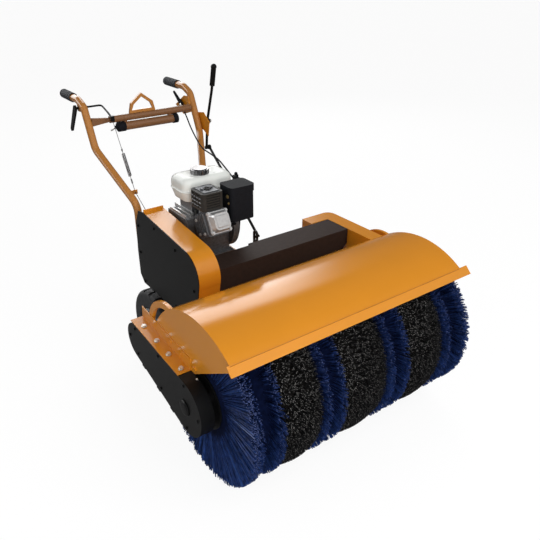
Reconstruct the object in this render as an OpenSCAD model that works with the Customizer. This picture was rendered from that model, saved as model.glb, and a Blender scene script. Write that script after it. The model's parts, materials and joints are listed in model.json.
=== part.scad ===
// Walk-behind power brush sweeper.
// Drawn with X along the brush, Y towards the handle and Z up from the ground, with Y = 0 at the centre of
// the hood's arc, and set down with the middle of its base at the origin.

/* [Brush] */
// Length of the bristled roll
brush_l = 914; // [880:1:930]
// Diameter over the bristle tips
brush_d = 580; // [560:1:584]
// How far the brush axis lies behind the hood's centre
brush_y = 15; // [10:1:18]
// Outside diameter of the core tube
core_d = 114; // [100:1:140]
// Diameter of the brush shaft
brush_shaft_d = 30; // [24:1:34]
// Strands in one ring of bristles
ring_strands = 30; // [26:2:32]

/* [Hood] */
// Width over the hood's sides
hood_w = 960; // [952:1:980]
// Outside radius of the hood's arc
hood_r = 322; // [320:1:326]
// Height of the arc's centre above the ground
hood_z = 275; // [272:1:278]
// Sheet thickness of hood, covers and guards
sheet = 3; // [2:0.5:4]
// Width of the front lip
lip_w = 31; // [20:1:40]

/* [Drive] */
// Jackshaft axis behind the hood's centre
jack_y = 348; // [346:1:352]
// Jackshaft axis above the ground
jack_z = 350; // [346:1:354]
// Diameter of jackshaft and countershaft
shaft_d = 25; // [20:1:26]
// Width of the chain case
case_w = 44; // [38:1:50]
// Radius of the chain case round the brush shaft
case_front_r = 98; // [96:1:104]
// Radius of the chain case round the jackshaft
case_rear_r = 66; // [60:1:68]
// Outside radius of the engine pulley
engine_pulley_r = 32; // [30:1:36]
// Outside radius of the countershaft pulley
driven_pulley_r = 66; // [60:1:68]
// Width of the V-belt
belt_w = 13; // [10:0.5:14]

/* [Chassis] */
// Outer face of the belt cover, left of the middle
cover_left = 310; // [306:1:316]
// Width of the belt cover
cover_w = 88; // [86:1:96]
// Outside radius of the tyres
tyre_r = 160; // [150:1:164]
// Width of the tyres
tyre_w = 110; // [90:1:112]
// Distance between the middles of the tyres
track = 560; // [556:1:600]
// Axle behind the hood's centre
axle_y = 665; // [655:1:675]
// Diameter of the axle
axle_d = 20; // [16:1:24]
// Top of the engine deck above the ground
deck_z = 479; // [476:1:482]

/* [Handle] */
// Diameter of the handle tubes
tube_d = 30; // [26:1:32]
// Distance between the two handle tubes at the grips
handle_w = 486; // [460:1:500]
// Height of the grips above the ground
grip_z = 996; // [985:1:1010]
// Rear end of the tubes behind the hood's centre
handle_y = 1330; // [1310:1:1350]
// Length of a grip
grip_l = 112; // [100:1:125]

/* [Engine] */
// Crankshaft axis behind the hood's centre
crank_y = 600; // [598:1:604]
// Crankshaft height above the deck
crank_h = 106; // [104:1:110]
// Length of the fuel tank along the crankshaft
tank_l = 212; // [204:1:216]
// Radius of the fuel cap
cap_r = 34; // [30:1:36]

/* [Hidden] */
$fn = 64;
paint = [0.86, 0.57, 0.18];
black = [0.13, 0.13, 0.14];
steel = [0.62, 0.63, 0.65];
alloy = [0.72, 0.72, 0.72];
cream = [0.88, 0.86, 0.78];
rubber = [0.08, 0.08, 0.08];
blue = [0.05, 0.13, 0.45];
wire_grey = [0.25, 0.25, 0.26];

// Overrun of cuts, running clearance, free clearance and the gap left at welds
over = 5;
run_gap = 0.05;
free_gap = 0.4;
weld_gap = 0.1;
steep_share = 0.7;

// Brush and its bands
brush_r = brush_d / 2;
brush_z = brush_r;
core_r = core_d / 2;
brush_shaft_r = brush_shaft_d / 2;
band_shares = [0.12, 0.16, 0.096, 0.2, 0.106, 0.188, 0.13];
ring_shares = [0.27, 0.73];
backing_t = 10;
core_wall = 6;
core_hole_r = 9;
core_hole_pcr = 34;
strand_base_w = 9;
strand_tip_w = 6;
strand_t = 9;
end_disc_r = 100;
end_disc_t = 4;
hub_share = 0.33;
brush_end_x = brush_l / 2;

// Hood
hood_x = hood_w / 2;
hood_rear_a = 25;
hood_front_a = 124;
hood_edge_z = 359;
brush_gap = 3;
side_low_y = 51;
side_low_z = 374;
side_front_z = 520;
side_top_z = hood_z + hood_r + over;
lip_drop_a = 45;
lip_sunk_share = 0.2;
sector_shares = [0, 0.5, 1];
lip_left = 10;
lip_right = 35;
lug_y = 187;
lug_z = 411;
lug_r = 143;
lug_bar = 22;
lug_t = 12;

// Chain case and right brush arm
case_x1 = -hood_x - sheet;
case_x0 = case_x1 - case_w;
ear_shares = [0.22, 0.5, 0.82];
ear_l = 22;
ear_h = 6;
flange_leg = 44;
flange_front_share = 0.12;
arm_t = 6;
arm_r = 55;
arm_foot = 90;
arm_top_z = 440;

// Bearings
bearing_l = 18;
brush_bearing_r = 38;
jack_bearing_r = 21;
bearing_flange_t = 5;
bearing_flange_extra = 14;

// Chains and sprockets
pitch = 12.7;
brush_teeth = 40;
jack_teeth = 12;
final_links = 80;
transfer_links = 36;
roller_r = 3.7;
seat_r = 4.8;
tooth_h = 3.5;
sprocket_t = 6.4;
plate_gap = 7.8;
plate_t = 1.5;
plate_half = 5.2;
brush_pitch_r = pitch / 2 / sin(180 / brush_teeth);
jack_pitch_r = pitch / 2 / sin(180 / jack_teeth);
shaft_r = shaft_d / 2;
transfer_lean = 17;
transfer_l = (transfer_links - jack_teeth) / 2 * pitch;
counter_y = jack_y + transfer_lean;
counter_z = jack_z + sqrt(transfer_l * transfer_l - transfer_lean * transfer_lean);
final_x = (case_x0 + case_x1) / 2;
brush_c = [brush_y, brush_z];
jack_c = [jack_y, jack_z];
counter_c = [counter_y, counter_z];

// Belt cover and what turns in it
cover_x0 = -cover_left;
cover_x1 = cover_x0 + cover_w;
belt_in = 34;
belt_x = cover_x0 + belt_in;
transfer_in = 65;
transfer_x = cover_x0 + transfer_in;
pulley_w = 22;
groove_d = 12;
belt_h = 8;
belt_sunk = 1;
groove_gap = 0.6;
pulley_hub_r = 20;
counter_in = 8;
counter_left_x = cover_x0 + counter_in;
nose_y = 372;
nose_z = 530;
nose_r = 92;
nose_low_a = 200;
cover_top_a = 6.3;
cover_top_y = 690;
cover_rear_top = [727, 651];
cover_rear_mid = [759, 595];
cover_rear_low = [770, 468];
cover_rear_foot = [769, 365];
cover_foot = [740, 332];
cover_step = [480, 332];
cover_dip = [430, 306];
cover_toe = [325, 306];
cover_shin = [306, 330];
cover_front = [300, 420];
back_rear_y = 725;
hem_h = 12;
hem_y = 682;
idler_r = 28;
idler_w = 20;
idler_share = 0.45;
idler_gap = 0.3;
idler_drop_a = 10;
idler_pivot = [575, 405];
stud_r = 6;
idler_arm_t = 6;
idler_arm_in = 14;
idler_arm_x = belt_x + idler_arm_in;
boss_r = 11;
boss_tube_r = 9;

// Shaft guard
guard_y0 = 295;
guard_y1 = 415;
guard_z0 = 455;
guard_z1 = 550;
guard_x1 = 383;
guard_chamfer = 34;
guard_step_a = 45;
guard_step_x = -15;
guard_step_h = 14;

// Rails, cross member, deck and axle
rail_x0 = 385;
rail_x1 = 447;
rail_y0 = 140;
rail_z0 = 440;
rail_z1 = 550;
rail_t = 4;
rail_corner_r = 35;
rail_return_x = 300;
cross_y0 = 420;
cross_y1 = 480;
cross_h = 60;
left_rail_x1 = -155;
left_rail_w = 60;
left_rail_y0 = 270;
left_rail_h = 45;
deck_x1 = 0;
deck_y1 = 760;
deck_t = 8;
deck_flange_h = 45;
deck_flange_t = 6;
beam_half = 22;
collar_l = 15;
beam_half_l = track / 2 - tyre_w / 2 - collar_l;
bracket_t = 6;
bracket_top_l = 200;
bracket_foot_l = 60;
collar_r = 18;
collar_w = 6;
axle_r = axle_d / 2;
axle_z = tyre_r;

// Wheels
hub_r = 24;
rim_r = 76;
rim_bead_r = 84;
rim_t = 4;
tyre_bead_gap = 0.4;
tyre_shoulder = 22;
tread_cuts = 20;
tread_depth = 9;
tread_cut_w = 15;
rim_holes = 5;
rim_hole_r = 11;
rim_hole_pcr = 48;

// Handle
tube_r = tube_d / 2;
handle_mid_x = -87;
left_x = handle_mid_x - handle_w / 2;
right_x = handle_mid_x + handle_w / 2;
left_foot_x = -290;
right_foot_x = 12;
foot_y = 775;
foot_z = 505;
foot_bend_z = 655;
kink_y = 1044;
kink_z = 820;
joint_y = 1085;
joint_z = 919;
neck_y = 1112;
neck_z = 976;
shoulder_y = 1166;
bend_r = 60;
plate_z1 = 600;
plate_thick = 8;
grip_t = 4;
grip_gap = 0.15;
grip_rib = 1.2;
grip_ribs = 7;
rib_shares = [0.2, 0.7, 0.85];
bar_r = 14;
bar_x0 = -240;
gusset_t = 8;
gusset_h = 34;
eye_w = 118;
eye_x = -92;
eye_shoulder_h = 40;
eye_h = 78;
eye_bar = 12;
eye_t = 12;
eye_shoulder_share = 0.42;
doc_r = 18;
doc_x0 = -206;
doc_x1 = 66;
doc_drop = 35;
doc_wall = 2;
doc_cap_l = 22;
doc_cap_wall = 2.5;
doc_lug_w = 12;

// Clutch lever, wire and spring
clutch_y = 1165;
clutch_z = 964;
clutch_shaft_r = 5;
clutch_out = 22;
clutch_end_x = left_x - clutch_out;
clutch_lever_t = 8;
clutch_tip = [1240, 866];
clutch_root_r = 13;
clutch_tip_r = 9;
crank_rod_r = 4;
crank_in = 30;
crank_pts = [[left_x + crank_in, clutch_y, clutch_z], [-236, clutch_y, clutch_z], [-240, 1092, 947],
    [-243, 1044, 932]];
crank_bend = 12;
ear_t = 8;
clip_w = 14;
clip_h = 22;
wire_r = 1.3;
guide_pt = [-262, 848, 682];
guide_w = 6;
guide_hole_r = 3;
guide_h = 18;
guide_a = 50;
guide_root_x = left_foot_x + (left_x - left_foot_x) * (guide_pt.y - foot_y) / (kink_y - foot_y);
wire_top = [-243, 1040, 919];
spring_from_share = 0.43;
spring_to_share = 0.80;
spring_turns = 22;
spring_wire_r = 1.1;
spring_r = 6;
spring_steps = 8;

// Throttle
throttle_y = 1145;
throttle_z = 920;
throttle_x = right_x - tube_r - sheet;
throttle_plate_pts = [[1222, 910], [1139, 962], [1098, 966], [1082, 900], [1151, 878]];
throttle_stud_r = 4;
throttle_lever_t = 6;
throttle_tip = [1211, 968];
throttle_root_r = 12;
throttle_tip_r = 5;
cable_r = 3;
cable_bend = 20;
control_root = 8;
control_x0 = 32;
control_x1 = 52;
control_y0 = 578;
control_y1 = 584;
control_z0 = 681;
control_z1 = 764;
cable_lead = 16;
cable_end = [42, control_y1 + weld_gap, 750];
cable_start = [throttle_x - cable_r - weld_gap, 1138, 893];
cable_from_tube = [[-24, 1112, 872], [-34, 1060, 836], [-52, 978, 802]];
cable_low = [[84, 900, 788], [66, 805, 790], [56, 725, 786], [52, 655, 762]];
cable_pts = concat([cable_start], [for (p = cable_from_tube) p + [right_x, 0, 0]], cable_low,
    [cable_end + [0, cable_lead, 0], cable_end]);

// Drive lever, control rod and shift arm
pivot_y = 1018;
pivot_z = 866;
lever_plate_pts = [[1086, 894], [1029, 904], [983, 868], [996, 804], [1036, 826], [1052, 822]];
lever_x = right_x + tube_r + sheet + sheet;
lever_w = 12;
lever_boss_r = 14;
lever_rod_r = 5.8;
lever_elbow = [968, 1008];
lever_top = [944, 1106];
lever_grip_r = 11;
lever_knob_out = 1.5;
lever_grip_from_share = 0.2;
lever_low = [1036, 742];
lever_low_r = 8;
pin_r = 5;
rod_r = 5.5;
rod_eye_r = 11;
rod_eye_t = 8;
rod_gap = 5;
rod_end = [90, 500, 522];
shift_y = 500;
shift_z = 445;
shift_t = 8;
shift_foot_r = 14;
shift_top_r = 13;
shift_top_z = 528;
slot_half_l = 16;
slot_gap = 1.6;
shift_bracket_t = 6;

// Engine
pto_x = -205;
crank_z = deck_z + crank_h;
bore_x = -131;
tilt = 25;
crank_r = 10;
base_t = 10;
base_y0 = 512;
base_y1 = 694;
case_len = 180;
case_y0 = 534;
case_y1 = 682;
case_top = 652;
shroud_r = 103;
shroud_w = 26;
shroud_x1 = pto_x + case_len + shroud_w;
barrel_w = 100;
barrel_h = 92;
barrel_root = 40;
barrel_end = 186;
fin_n = 6;
fin_t = 4;
fin_out = 7;
fin_from = 96;
fin_step = 15;
head_w = 76;
head_h = 74;
head_l = 30;
head_corner = 14;
head_flange_t = 6;
head_flange_out = 7;
head_from = barrel_end;
tank_x0 = -196;
tank_w = 134;
tank_y = 616;
tank_z0 = 706;
tank_seam_z = 745;
tank_shoulder_z = 772;
tank_z1 = 794;
tank_corner = 34;
tank_slab = 2;
tank_in = 24;
tank_foot_in = 10;
tank_neck_r = 26;
tank_neck_h = 10;
tank_foot_w = 30;
cap_x = -100;
cap_y = 606;
cap_h = 20;
cap_ribs = 16;
cap_rib_r = 3;
muffler_x0 = -187;
muffler_l = 88;
muffler_y0 = 440;
muffler_w = 92;
muffler_z0 = 708;
muffler_h = 65;
muffler_corner = 14;
louvre_n = 6;
louvre_h = 4;
louvre_d = 5;
louvre_in = 16;
pipe_r = 16;
pipe_share = 0.6;
cleaner_x0 = -75;
cleaner_l = 106;
cleaner_y0 = 428;
cleaner_w = 88;
cleaner_z0 = 644;
cleaner_h = 132;
cleaner_lid_t = 26;
cleaner_lid_out = 4;
cleaner_corner = 16;
carb_gap = 3;
carb_x0 = bore_x + barrel_w / 2 + carb_gap;
carb_l = 64;
carb_y0 = 500;
carb_y1 = 560;
carb_z0 = 594;
recoil_w = 38;
recoil_r = 88;
recoil_nose_r = 52;
recoil_ribs = 8;
recoil_slot_w = 10;
recoil_rim_share = 0.33;
pull_y = 640;
pull_z = 682;
pull_l = 44;
pull_r = 9;
pull_stem_r = 5;
pull_stem_l = 12;
small_stud_r = 3;
small_lever_t = 5;
small_lever_l = 30;
small_root_r = 7;
small_tip_r = 4;
small_lever_in = 28;
choke_z = 628;
valve_z = 606;
choke_c = [carb_x0 + small_lever_in, choke_z];
valve_c = [carb_x0 + small_lever_in, valve_z];
switch_y = 508;
switch_z = 618;
switch_r = 9;
switch_t = 10;

// Middle of the base, from the pieces that reach furthest
mid_x = (case_x0 + hood_x + lip_right) / 2;
mid_y = (brush_y - brush_r + handle_y + grip_t) / 2;

// Placing and plain shapes

module placed() {
    translate([-mid_x, -mid_y, 0]) children();
}

module x_rod(x0, x1, c, r) {
    translate([x0, c[0], c[1]]) rotate([0, 90, 0]) cylinder(r = r, h = x1 - x0);
}

module x_box(x0, x1, y0, y1, z0, z1) {
    translate([x0, y0, z0]) cube([x1 - x0, y1 - y0, z1 - z0]);
}

// An outline of Y and Z run along X
module x_plate(x0, x1) {
    translate([x0, 0, 0]) rotate([90, 0, 90]) linear_extrude(x1 - x0) children();
}

// A round bar between two points
module rod_between(a, b, r) {
    d = b - a;
    translate(a) rotate([0, acos(d.z / norm(d)), atan2(d.y, d.x)]) cylinder(r = r, h = norm(d));
}

module rounded_rect(w, h, r) {
    square([w - r - r, h], center = true);
    square([w, h - r - r], center = true);
    for (sx = [-1, 1], sy = [-1, 1])
        translate([sx * (w / 2 - r), sy * (h / 2 - r)]) circle(r);
}

// Two circles and the two outer tangents between them, as a case, a belt or a lever has
function turn_of(a, b) = atan2(b[1] - a[1], b[0] - a[0]);
function lean_of(a, ra, b, rb) = asin((ra - rb) / norm(b - a));
function at(c, r, ang) = c + r * [cos(ang), sin(ang)];

module pair_outline(a, ra, b, rb) {
    up = turn_of(a, b) + 90 - lean_of(a, ra, b, rb);
    down = turn_of(a, b) - 90 + lean_of(a, ra, b, rb);
    translate(a) circle(ra);
    translate(b) circle(rb);
    polygon([at(a, ra, up), at(a, ra, down), at(b, rb, down), at(b, rb, up)]);
}

// Tubes swept along points

function unit(v) = v / norm(v);

// An arc of radius r in n steps in place of the corner at b
function corner_arc(a, b, c, r, n) =
    let (u = unit(a - b), v = unit(c - b), inside = acos(u * v), turn = 180 - inside,
        centre = b + unit(u + v) * r / sin(inside / 2),
        e0 = unit(b + u * r / tan(inside / 2) - centre),
        e1 = unit(b + v * r / tan(inside / 2) - centre))
    [for (i = [0:n]) centre + r * (e0 * sin(turn * (1 - i / n)) + e1 * sin(turn * i / n)) / sin(turn)];

function bent(p, r, n) =
    concat([p[0]], [for (i = [1:len(p) - 2]) each corner_arc(p[i - 1], p[i], p[i + 1], r, n)],
        [p[len(p) - 1]]);

function heading(p, i) =
    i == 0 ? unit(p[1] - p[0])
    : i == len(p) - 1 ? unit(p[i] - p[i - 1])
    : unit(unit(p[i + 1] - p[i]) + unit(p[i] - p[i - 1]));

function carried(p, i, side) =
    let (t = heading(p, i), s = unit(side - t * (side * t)))
    i == len(p) - 1 ? [s] : concat([s], carried(p, i + 1, s));

module tube_along(p, r, sides) {
    last = len(p) - 1;
    start = heading(p, 0);
    side = carried(p, 0, abs(start.x) < steep_share ? [1, 0, 0] : [0, 1, 0]);
    points = [for (i = [0:last]) let (t = heading(p, i), s = side[i], u = cross(t, s))
        for (k = [0:sides - 1]) p[i] + r * (s * cos(360 * k / sides) + u * sin(360 * k / sides))];
    walls = [for (i = [0:last - 1], k = [0:sides - 1])
        let (a = i * sides + k, b = i * sides + (k + 1) % sides, c = b + sides, d = a + sides)
        each [[a, d, c], [a, c, b]]];
    caps = [for (k = [1:sides - 2])
        each [[0, k, k + 1], [last * sides, last * sides + k + 1, last * sides + k]]];
    polyhedron(points, concat(walls, caps));
}

// Hood

module hood_sector(r) {
    intersection() {
        circle(r);
        polygon([[0, 0], for (s = sector_shares)
            let (a = hood_rear_a + s * (hood_front_a - hood_rear_a)) (r + r) * [cos(a), sin(a)]]);
    }
}

module hood_profile() {
    rear_y = hood_r * cos(hood_rear_a);
    rear_z = hood_z + hood_r * sin(hood_rear_a);
    translate([0, hood_z]) difference() {
        hood_sector(hood_r);
        circle(hood_r - sheet);
    }
    reach = max(0, pow(brush_r + brush_gap, 2) - pow(rear_y - sheet - brush_c[0], 2));
    edge_z = max(hood_edge_z, brush_c[1] + sqrt(reach));
    translate([rear_y - sheet, edge_z]) square([sheet, rear_z - edge_z - sheet * lip_sunk_share]);
}

module hood_lip() {
    translate([hood_r * cos(hood_front_a), hood_z + hood_r * sin(hood_front_a)])
        rotate(180 + lip_drop_a) translate([-sheet, -sheet * lip_sunk_share]) square([lip_w + sheet, sheet]);
}

module lift_lug() {
    difference() {
        translate([lug_y, lug_z]) circle(lug_r);
        translate([lug_y, lug_z]) circle(lug_r - lug_bar);
        translate([0, hood_z]) circle(hood_r - sheet / 2);
    }
}

module hood_shell() color(paint) placed() {
    x_plate(-hood_x, hood_x) hood_profile();
    x_plate(-hood_x - lip_left, hood_x + lip_right) hood_lip();
    x_plate(-hood_x + weld_gap, -hood_x + lug_t) lift_lug();
    x_plate(hood_x - lug_t, hood_x - weld_gap) lift_lug();
}

module hood_side() {
    inner_r = hood_r - sheet - weld_gap;
    rear_y = hood_r * cos(hood_rear_a) - sheet - weld_gap;
    front_y = hood_r * cos(hood_front_a);
    intersection() {
        translate([0, hood_z]) circle(inner_r);
        polygon([[rear_y, side_top_z], [front_y, side_top_z], [front_y, side_front_z],
            [side_low_y, side_low_z], [rear_y, hood_edge_z]]);
    }
}

module hood_sides() color(paint) placed() {
    x_plate(-hood_x, -hood_x + sheet) hood_side();
    x_plate(hood_x - sheet, hood_x) hood_side();
}

// Chain case

module case_outline(inset) {
    pair_outline(brush_c, case_front_r - inset, jack_c, case_rear_r - inset);
}

function case_top_a() = turn_of(brush_c, jack_c) - lean_of(brush_c, case_front_r, jack_c, case_rear_r);
function case_top_at(s) = let (n = [-sin(case_top_a()), cos(case_top_a())])
    (brush_c + case_front_r * n) * (1 - s) + (jack_c + case_rear_r * n) * s;

module case_flange() color(paint) placed() {
    a = case_top_a();
    start = case_top_at(flange_front_share);
    run_l = norm(case_top_at(1) - start) + case_rear_r / 2;
    translate([0, start[0], start[1]]) rotate([a, 0, 0]) {
        x_box(case_x0, case_x1, 0, run_l, weld_gap, weld_gap + sheet);
        x_box(case_x1, case_x1 + sheet, 0, run_l, weld_gap, weld_gap + flange_leg);
    }
}

module chain_case_back() color(black) placed() difference() {
    x_plate(case_x1, case_x1 + sheet) case_outline(0);
    x_rod(case_x1 - over, case_x1 + sheet + over, brush_c, brush_shaft_r + sheet);
    x_rod(case_x1 - over, case_x1 + sheet + over, jack_c, shaft_r + sheet);
}

module chain_case_cover() color(black) placed() {
    bottom_a = turn_of(brush_c, jack_c) + lean_of(brush_c, case_front_r, jack_c, case_rear_r);
    n = [sin(bottom_a), -cos(bottom_a)];
    difference() {
        union() {
            x_plate(case_x0, case_x1) case_outline(0);
            for (s = ear_shares)
                let (p = (brush_c + case_front_r * n) * (1 - s) + (jack_c + case_rear_r * n) * s)
                translate([0, p[0], p[1]]) rotate([bottom_a, 0, 0])
                    x_box(case_x0, case_x1, -ear_l / 2, ear_l / 2, -ear_h, sheet / 2);
        }
        x_plate(case_x0 + sheet, case_x1 + over) case_outline(sheet);
    }
}

module right_arm() color(black) placed() difference() {
    x_plate(hood_x, hood_x + arm_t) {
        translate(brush_c) circle(arm_r);
        polygon([[brush_y - arm_r, brush_z], [brush_y + arm_r, brush_z],
            [brush_y + arm_r + arm_foot, arm_top_z], [brush_y, arm_top_z]]);
    }
    x_rod(hood_x - over, hood_x + arm_t + over, brush_c, brush_shaft_r + sheet);
}

// Flange bearings: a round housing on a square-cornered flange
module bearing(x0, toward, c, r, bore) {
    x1 = x0 + toward * bearing_l;
    xf = x0 + toward * bearing_flange_t;
    difference() {
        union() {
            x_rod(min(x0, x1), max(x0, x1), c, r);
            x_plate(min(x0, xf), max(x0, xf))
                translate(c) rounded_rect(2 * r, 2 * r + bearing_flange_extra, bearing_flange_t);
        }
        x_rod(min(x0, x1) - over, max(x0, x1) + over, c, bore + run_gap);
    }
}

module shaft_bearings() color(steel) placed() {
    bearing(-hood_x, 1, brush_c, brush_bearing_r, brush_shaft_r);
    bearing(hood_x, -1, brush_c, brush_bearing_r, brush_shaft_r);
    bearing(-hood_x, 1, jack_c, jack_bearing_r, shaft_r);
    bearing(cover_x1, 1, jack_c, jack_bearing_r, shaft_r);
    bearing(cover_x1, 1, counter_c, jack_bearing_r, shaft_r);
    bearing(rail_x0, -1, counter_c, jack_bearing_r, shaft_r);
}

// Brush

module brush_core() color(black) placed() {
    difference() {
        union() {
            x_rod(-brush_end_x, brush_end_x, brush_c, core_r);
            for (s = [-1, 1]) let (x = s * (brush_end_x + end_disc_t / 2))
                x_rod(x - end_disc_t / 2, x + end_disc_t / 2, brush_c, end_disc_r);
        }
        x_rod(-brush_end_x, brush_end_x, brush_c, core_r - core_wall);
        for (k = [0:3])
            x_rod(-brush_end_x - over, brush_end_x + over, at(brush_c, core_hole_pcr, 90 * k), core_hole_r);
    }
    x_rod(case_x0 + sheet + free_gap, hood_x + arm_t + sheet, brush_c, brush_shaft_r);
}

function band_start(i) = i == 0 ? 0 : band_start(i - 1) + band_shares[i - 1];

// A ring of strands, each running out from the backing to the brush's full radius
module strand_ring(x, phase) {
    hb = strand_base_w / 2;
    ht = strand_tip_w / 2;
    root = sqrt((core_r + backing_t) * (core_r + backing_t) - hb * hb);
    tip = sqrt(brush_r * brush_r - ht * ht);
    x_plate(x - strand_t / 2, x + strand_t / 2) translate(brush_c)
        polygon([for (k = [0:ring_strands - 1]) let (a = 270 + (k + phase) * 360 / ring_strands)
            for (q = [[root, -hb], [tip, -ht], [tip, ht], [root, hb]])
                [q[0] * cos(a) - q[1] * sin(a), q[0] * sin(a) + q[1] * cos(a)]]);
}

module bristle_band(i) {
    x0 = -brush_end_x + brush_l * band_start(i) + weld_gap;
    x1 = x0 + brush_l * band_shares[i] - weld_gap - weld_gap;
    difference() {
        union() {
            x_rod(x0, x1, brush_c, core_r + backing_t);
            for (k = [0, 1]) strand_ring(x0 + (x1 - x0) * ring_shares[k], k / 2);
        }
        x_rod(x0 - over, x1 + over, brush_c, core_r + weld_gap);
    }
}

module blue_bristles() color(blue) placed() {
    for (i = [0, 2, 4, 6]) bristle_band(i);
}

module wire_bristles() color(wire_grey) placed() {
    for (i = [1, 3, 5]) bristle_band(i);
}

// Sprockets and chains

module sprocket(x, c, teeth, toward) {
    pr = pitch / 2 / sin(180 / teeth);
    x_plate(x - sprocket_t / 2, x + sprocket_t / 2) translate(c) difference() {
        circle(pr + tooth_h);
        for (k = [0:teeth - 1]) translate(at([0, 0], pr, toward + k * 360 / teeth)) circle(seat_r, $fn = 24);
    }
}

module brush_sprocket() color(steel) placed() difference() {
    union() {
        sprocket(final_x, brush_c, brush_teeth, turn_of(jack_c, brush_c));
        x_rod(final_x - case_w * hub_share, final_x + case_w * hub_share, brush_c, brush_shaft_r + backing_t);
    }
    x_rod(case_x0 - over, case_x1 + over, brush_c, brush_shaft_r + weld_gap);
}

// A point on the loop round two circles, at the length s from the outermost point of the first
function loop_l(ra, rb, d) = let (b = asin((ra - rb) / d))
    2 * d * cos(b) + (ra * (180 + 2 * b) + rb * (180 - 2 * b)) * PI / 180;
function loop_at(ra, rb, d, s) = let (b = asin((ra - rb) / d),
        l1 = ra * (90 + b) * PI / 180,
        l2 = l1 + d * cos(b),
        l3 = l2 + rb * (180 - 2 * b) * PI / 180,
        l4 = l3 + d * cos(b),
        p1 = at([0, 0], ra, b - 90),
        p2 = at([d, 0], rb, b - 90),
        p3 = at([d, 0], rb, 90 - b),
        p4 = at([0, 0], ra, 90 - b))
    s < l1 ? at([0, 0], ra, 180 + s / ra * 180 / PI)
    : s < l2 ? p1 + (p2 - p1) * (s - l1) / (l2 - l1)
    : s < l3 ? at([d, 0], rb, b - 90 + (s - l2) / rb * 180 / PI)
    : s < l4 ? p3 + (p4 - p3) * (s - l3) / (l4 - l3)
    : at([0, 0], ra, 90 - b + (s - l4) / ra * 180 / PI);

module roller_chain(x, a, ra, b, rb, links) {
    d = norm(b - a);
    step = loop_l(ra, rb, d) / links;
    clear = tooth_h + roller_r + free_gap;
    for (s = [-1, 1]) let (xm = x + s * (plate_gap + plate_t) / 2)
        x_plate(xm - plate_t / 2, xm + plate_t / 2) difference() {
            pair_outline(a, ra + plate_half, b, rb + plate_half);
            pair_outline(a, ra - plate_half, b, rb - plate_half);
        }
    x_plate(x - plate_gap / 2 - plate_t / 2, x + plate_gap / 2 + plate_t / 2)
        translate(a) rotate(turn_of(a, b))
            for (k = [0:links - 1]) let (p = loop_at(ra, rb, d, k * step))
                if (norm(p) > ra + clear && norm(p - [d, 0]) > rb + clear)
                    translate(p) circle(roller_r, $fn = 16);
}

module drive_chains() color(steel) placed() {
    roller_chain(final_x, brush_c, brush_pitch_r, jack_c, jack_pitch_r, final_links);
    roller_chain(transfer_x, jack_c, jack_pitch_r, counter_c, jack_pitch_r, transfer_links);
}

module jackshaft() color(steel) placed() {
    x_rod(case_x0 + sheet + free_gap, cover_x1 + bearing_l + sheet, jack_c, shaft_r);
    sprocket(final_x, jack_c, jack_teeth, turn_of(brush_c, jack_c));
    sprocket(transfer_x, jack_c, jack_teeth, turn_of(counter_c, jack_c));
}

// A pulley with one groove
module grooved_pulley(x, c, r, hub_out) {
    translate([x, c[0], c[1]]) rotate([0, 90, 0]) rotate_extrude()
        polygon([[0, -pulley_w / 2], [r, -pulley_w / 2], [r, -belt_w / 2 - groove_gap],
            [r - groove_d, -belt_w / 2 - groove_gap], [r - groove_d, belt_w / 2 + groove_gap],
            [r, belt_w / 2 + groove_gap], [r, pulley_w / 2], [pulley_hub_r, pulley_w / 2],
            [pulley_hub_r, pulley_w / 2 + hub_out], [0, pulley_w / 2 + hub_out]]);
}

module countershaft() color(steel) placed() {
    x_rod(counter_left_x, rail_x0 - free_gap, counter_c, shaft_r);
    grooved_pulley(belt_x, counter_c, driven_pulley_r, sheet);
    sprocket(transfer_x, counter_c, jack_teeth, turn_of(jack_c, counter_c));
}

module engine_pulley() color(steel) placed() {
    x_rod(belt_x - pulley_w / 2 - sheet, pto_x - free_gap, [crank_y, crank_z], crank_r);
    grooved_pulley(belt_x, [crank_y, crank_z], engine_pulley_r, sheet);
}

module belt_loop(sunk) {
    pair_outline(counter_c, driven_pulley_r - sunk, [crank_y, crank_z], engine_pulley_r - sunk);
}

module drive_belt() color(rubber) placed() {
    x_plate(belt_x - belt_w / 2, belt_x + belt_w / 2) difference() {
        belt_loop(belt_sunk);
        belt_loop(belt_sunk + belt_h);
    }
}

// Belt idler: where it presses the belt's lower run, and where it hangs at rest with the clutch released
function idler_on() = let (e = [crank_y, crank_z],
        ra = driven_pulley_r - belt_sunk,
        rb = engine_pulley_r - belt_sunk,
        down = turn_of(counter_c, e) - 90 + lean_of(counter_c, ra, e, rb),
        p = at(counter_c, ra, down) * (1 - idler_share) + at(e, rb, down) * idler_share)
    at(p, idler_r + idler_gap, down);
function idler_c() = at(idler_pivot, norm(idler_on() - idler_pivot),
    turn_of(idler_pivot, idler_on()) + idler_drop_a);

module idler_arm() color(steel) placed() {
    x_rod(belt_x - idler_w / 2, idler_arm_x + sheet, idler_c(), stud_r);
    difference() {
        union() {
            x_plate(idler_arm_x, idler_arm_x + idler_arm_t)
                pair_outline(idler_pivot, boss_r, idler_c(), boss_r);
            x_rod(idler_arm_x + sheet, cover_x1 - sheet - free_gap, idler_pivot, boss_tube_r);
        }
        x_rod(idler_arm_x - over, cover_x1 + over, idler_pivot, stud_r + run_gap);
    }
}

module idler_pulley() color(black) placed() difference() {
    x_rod(belt_x - idler_w / 2, idler_arm_x - free_gap, idler_c(), idler_r);
    x_rod(belt_x - idler_w, idler_arm_x + over, idler_c(), stud_r + run_gap);
}

// Belt cover

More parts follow.
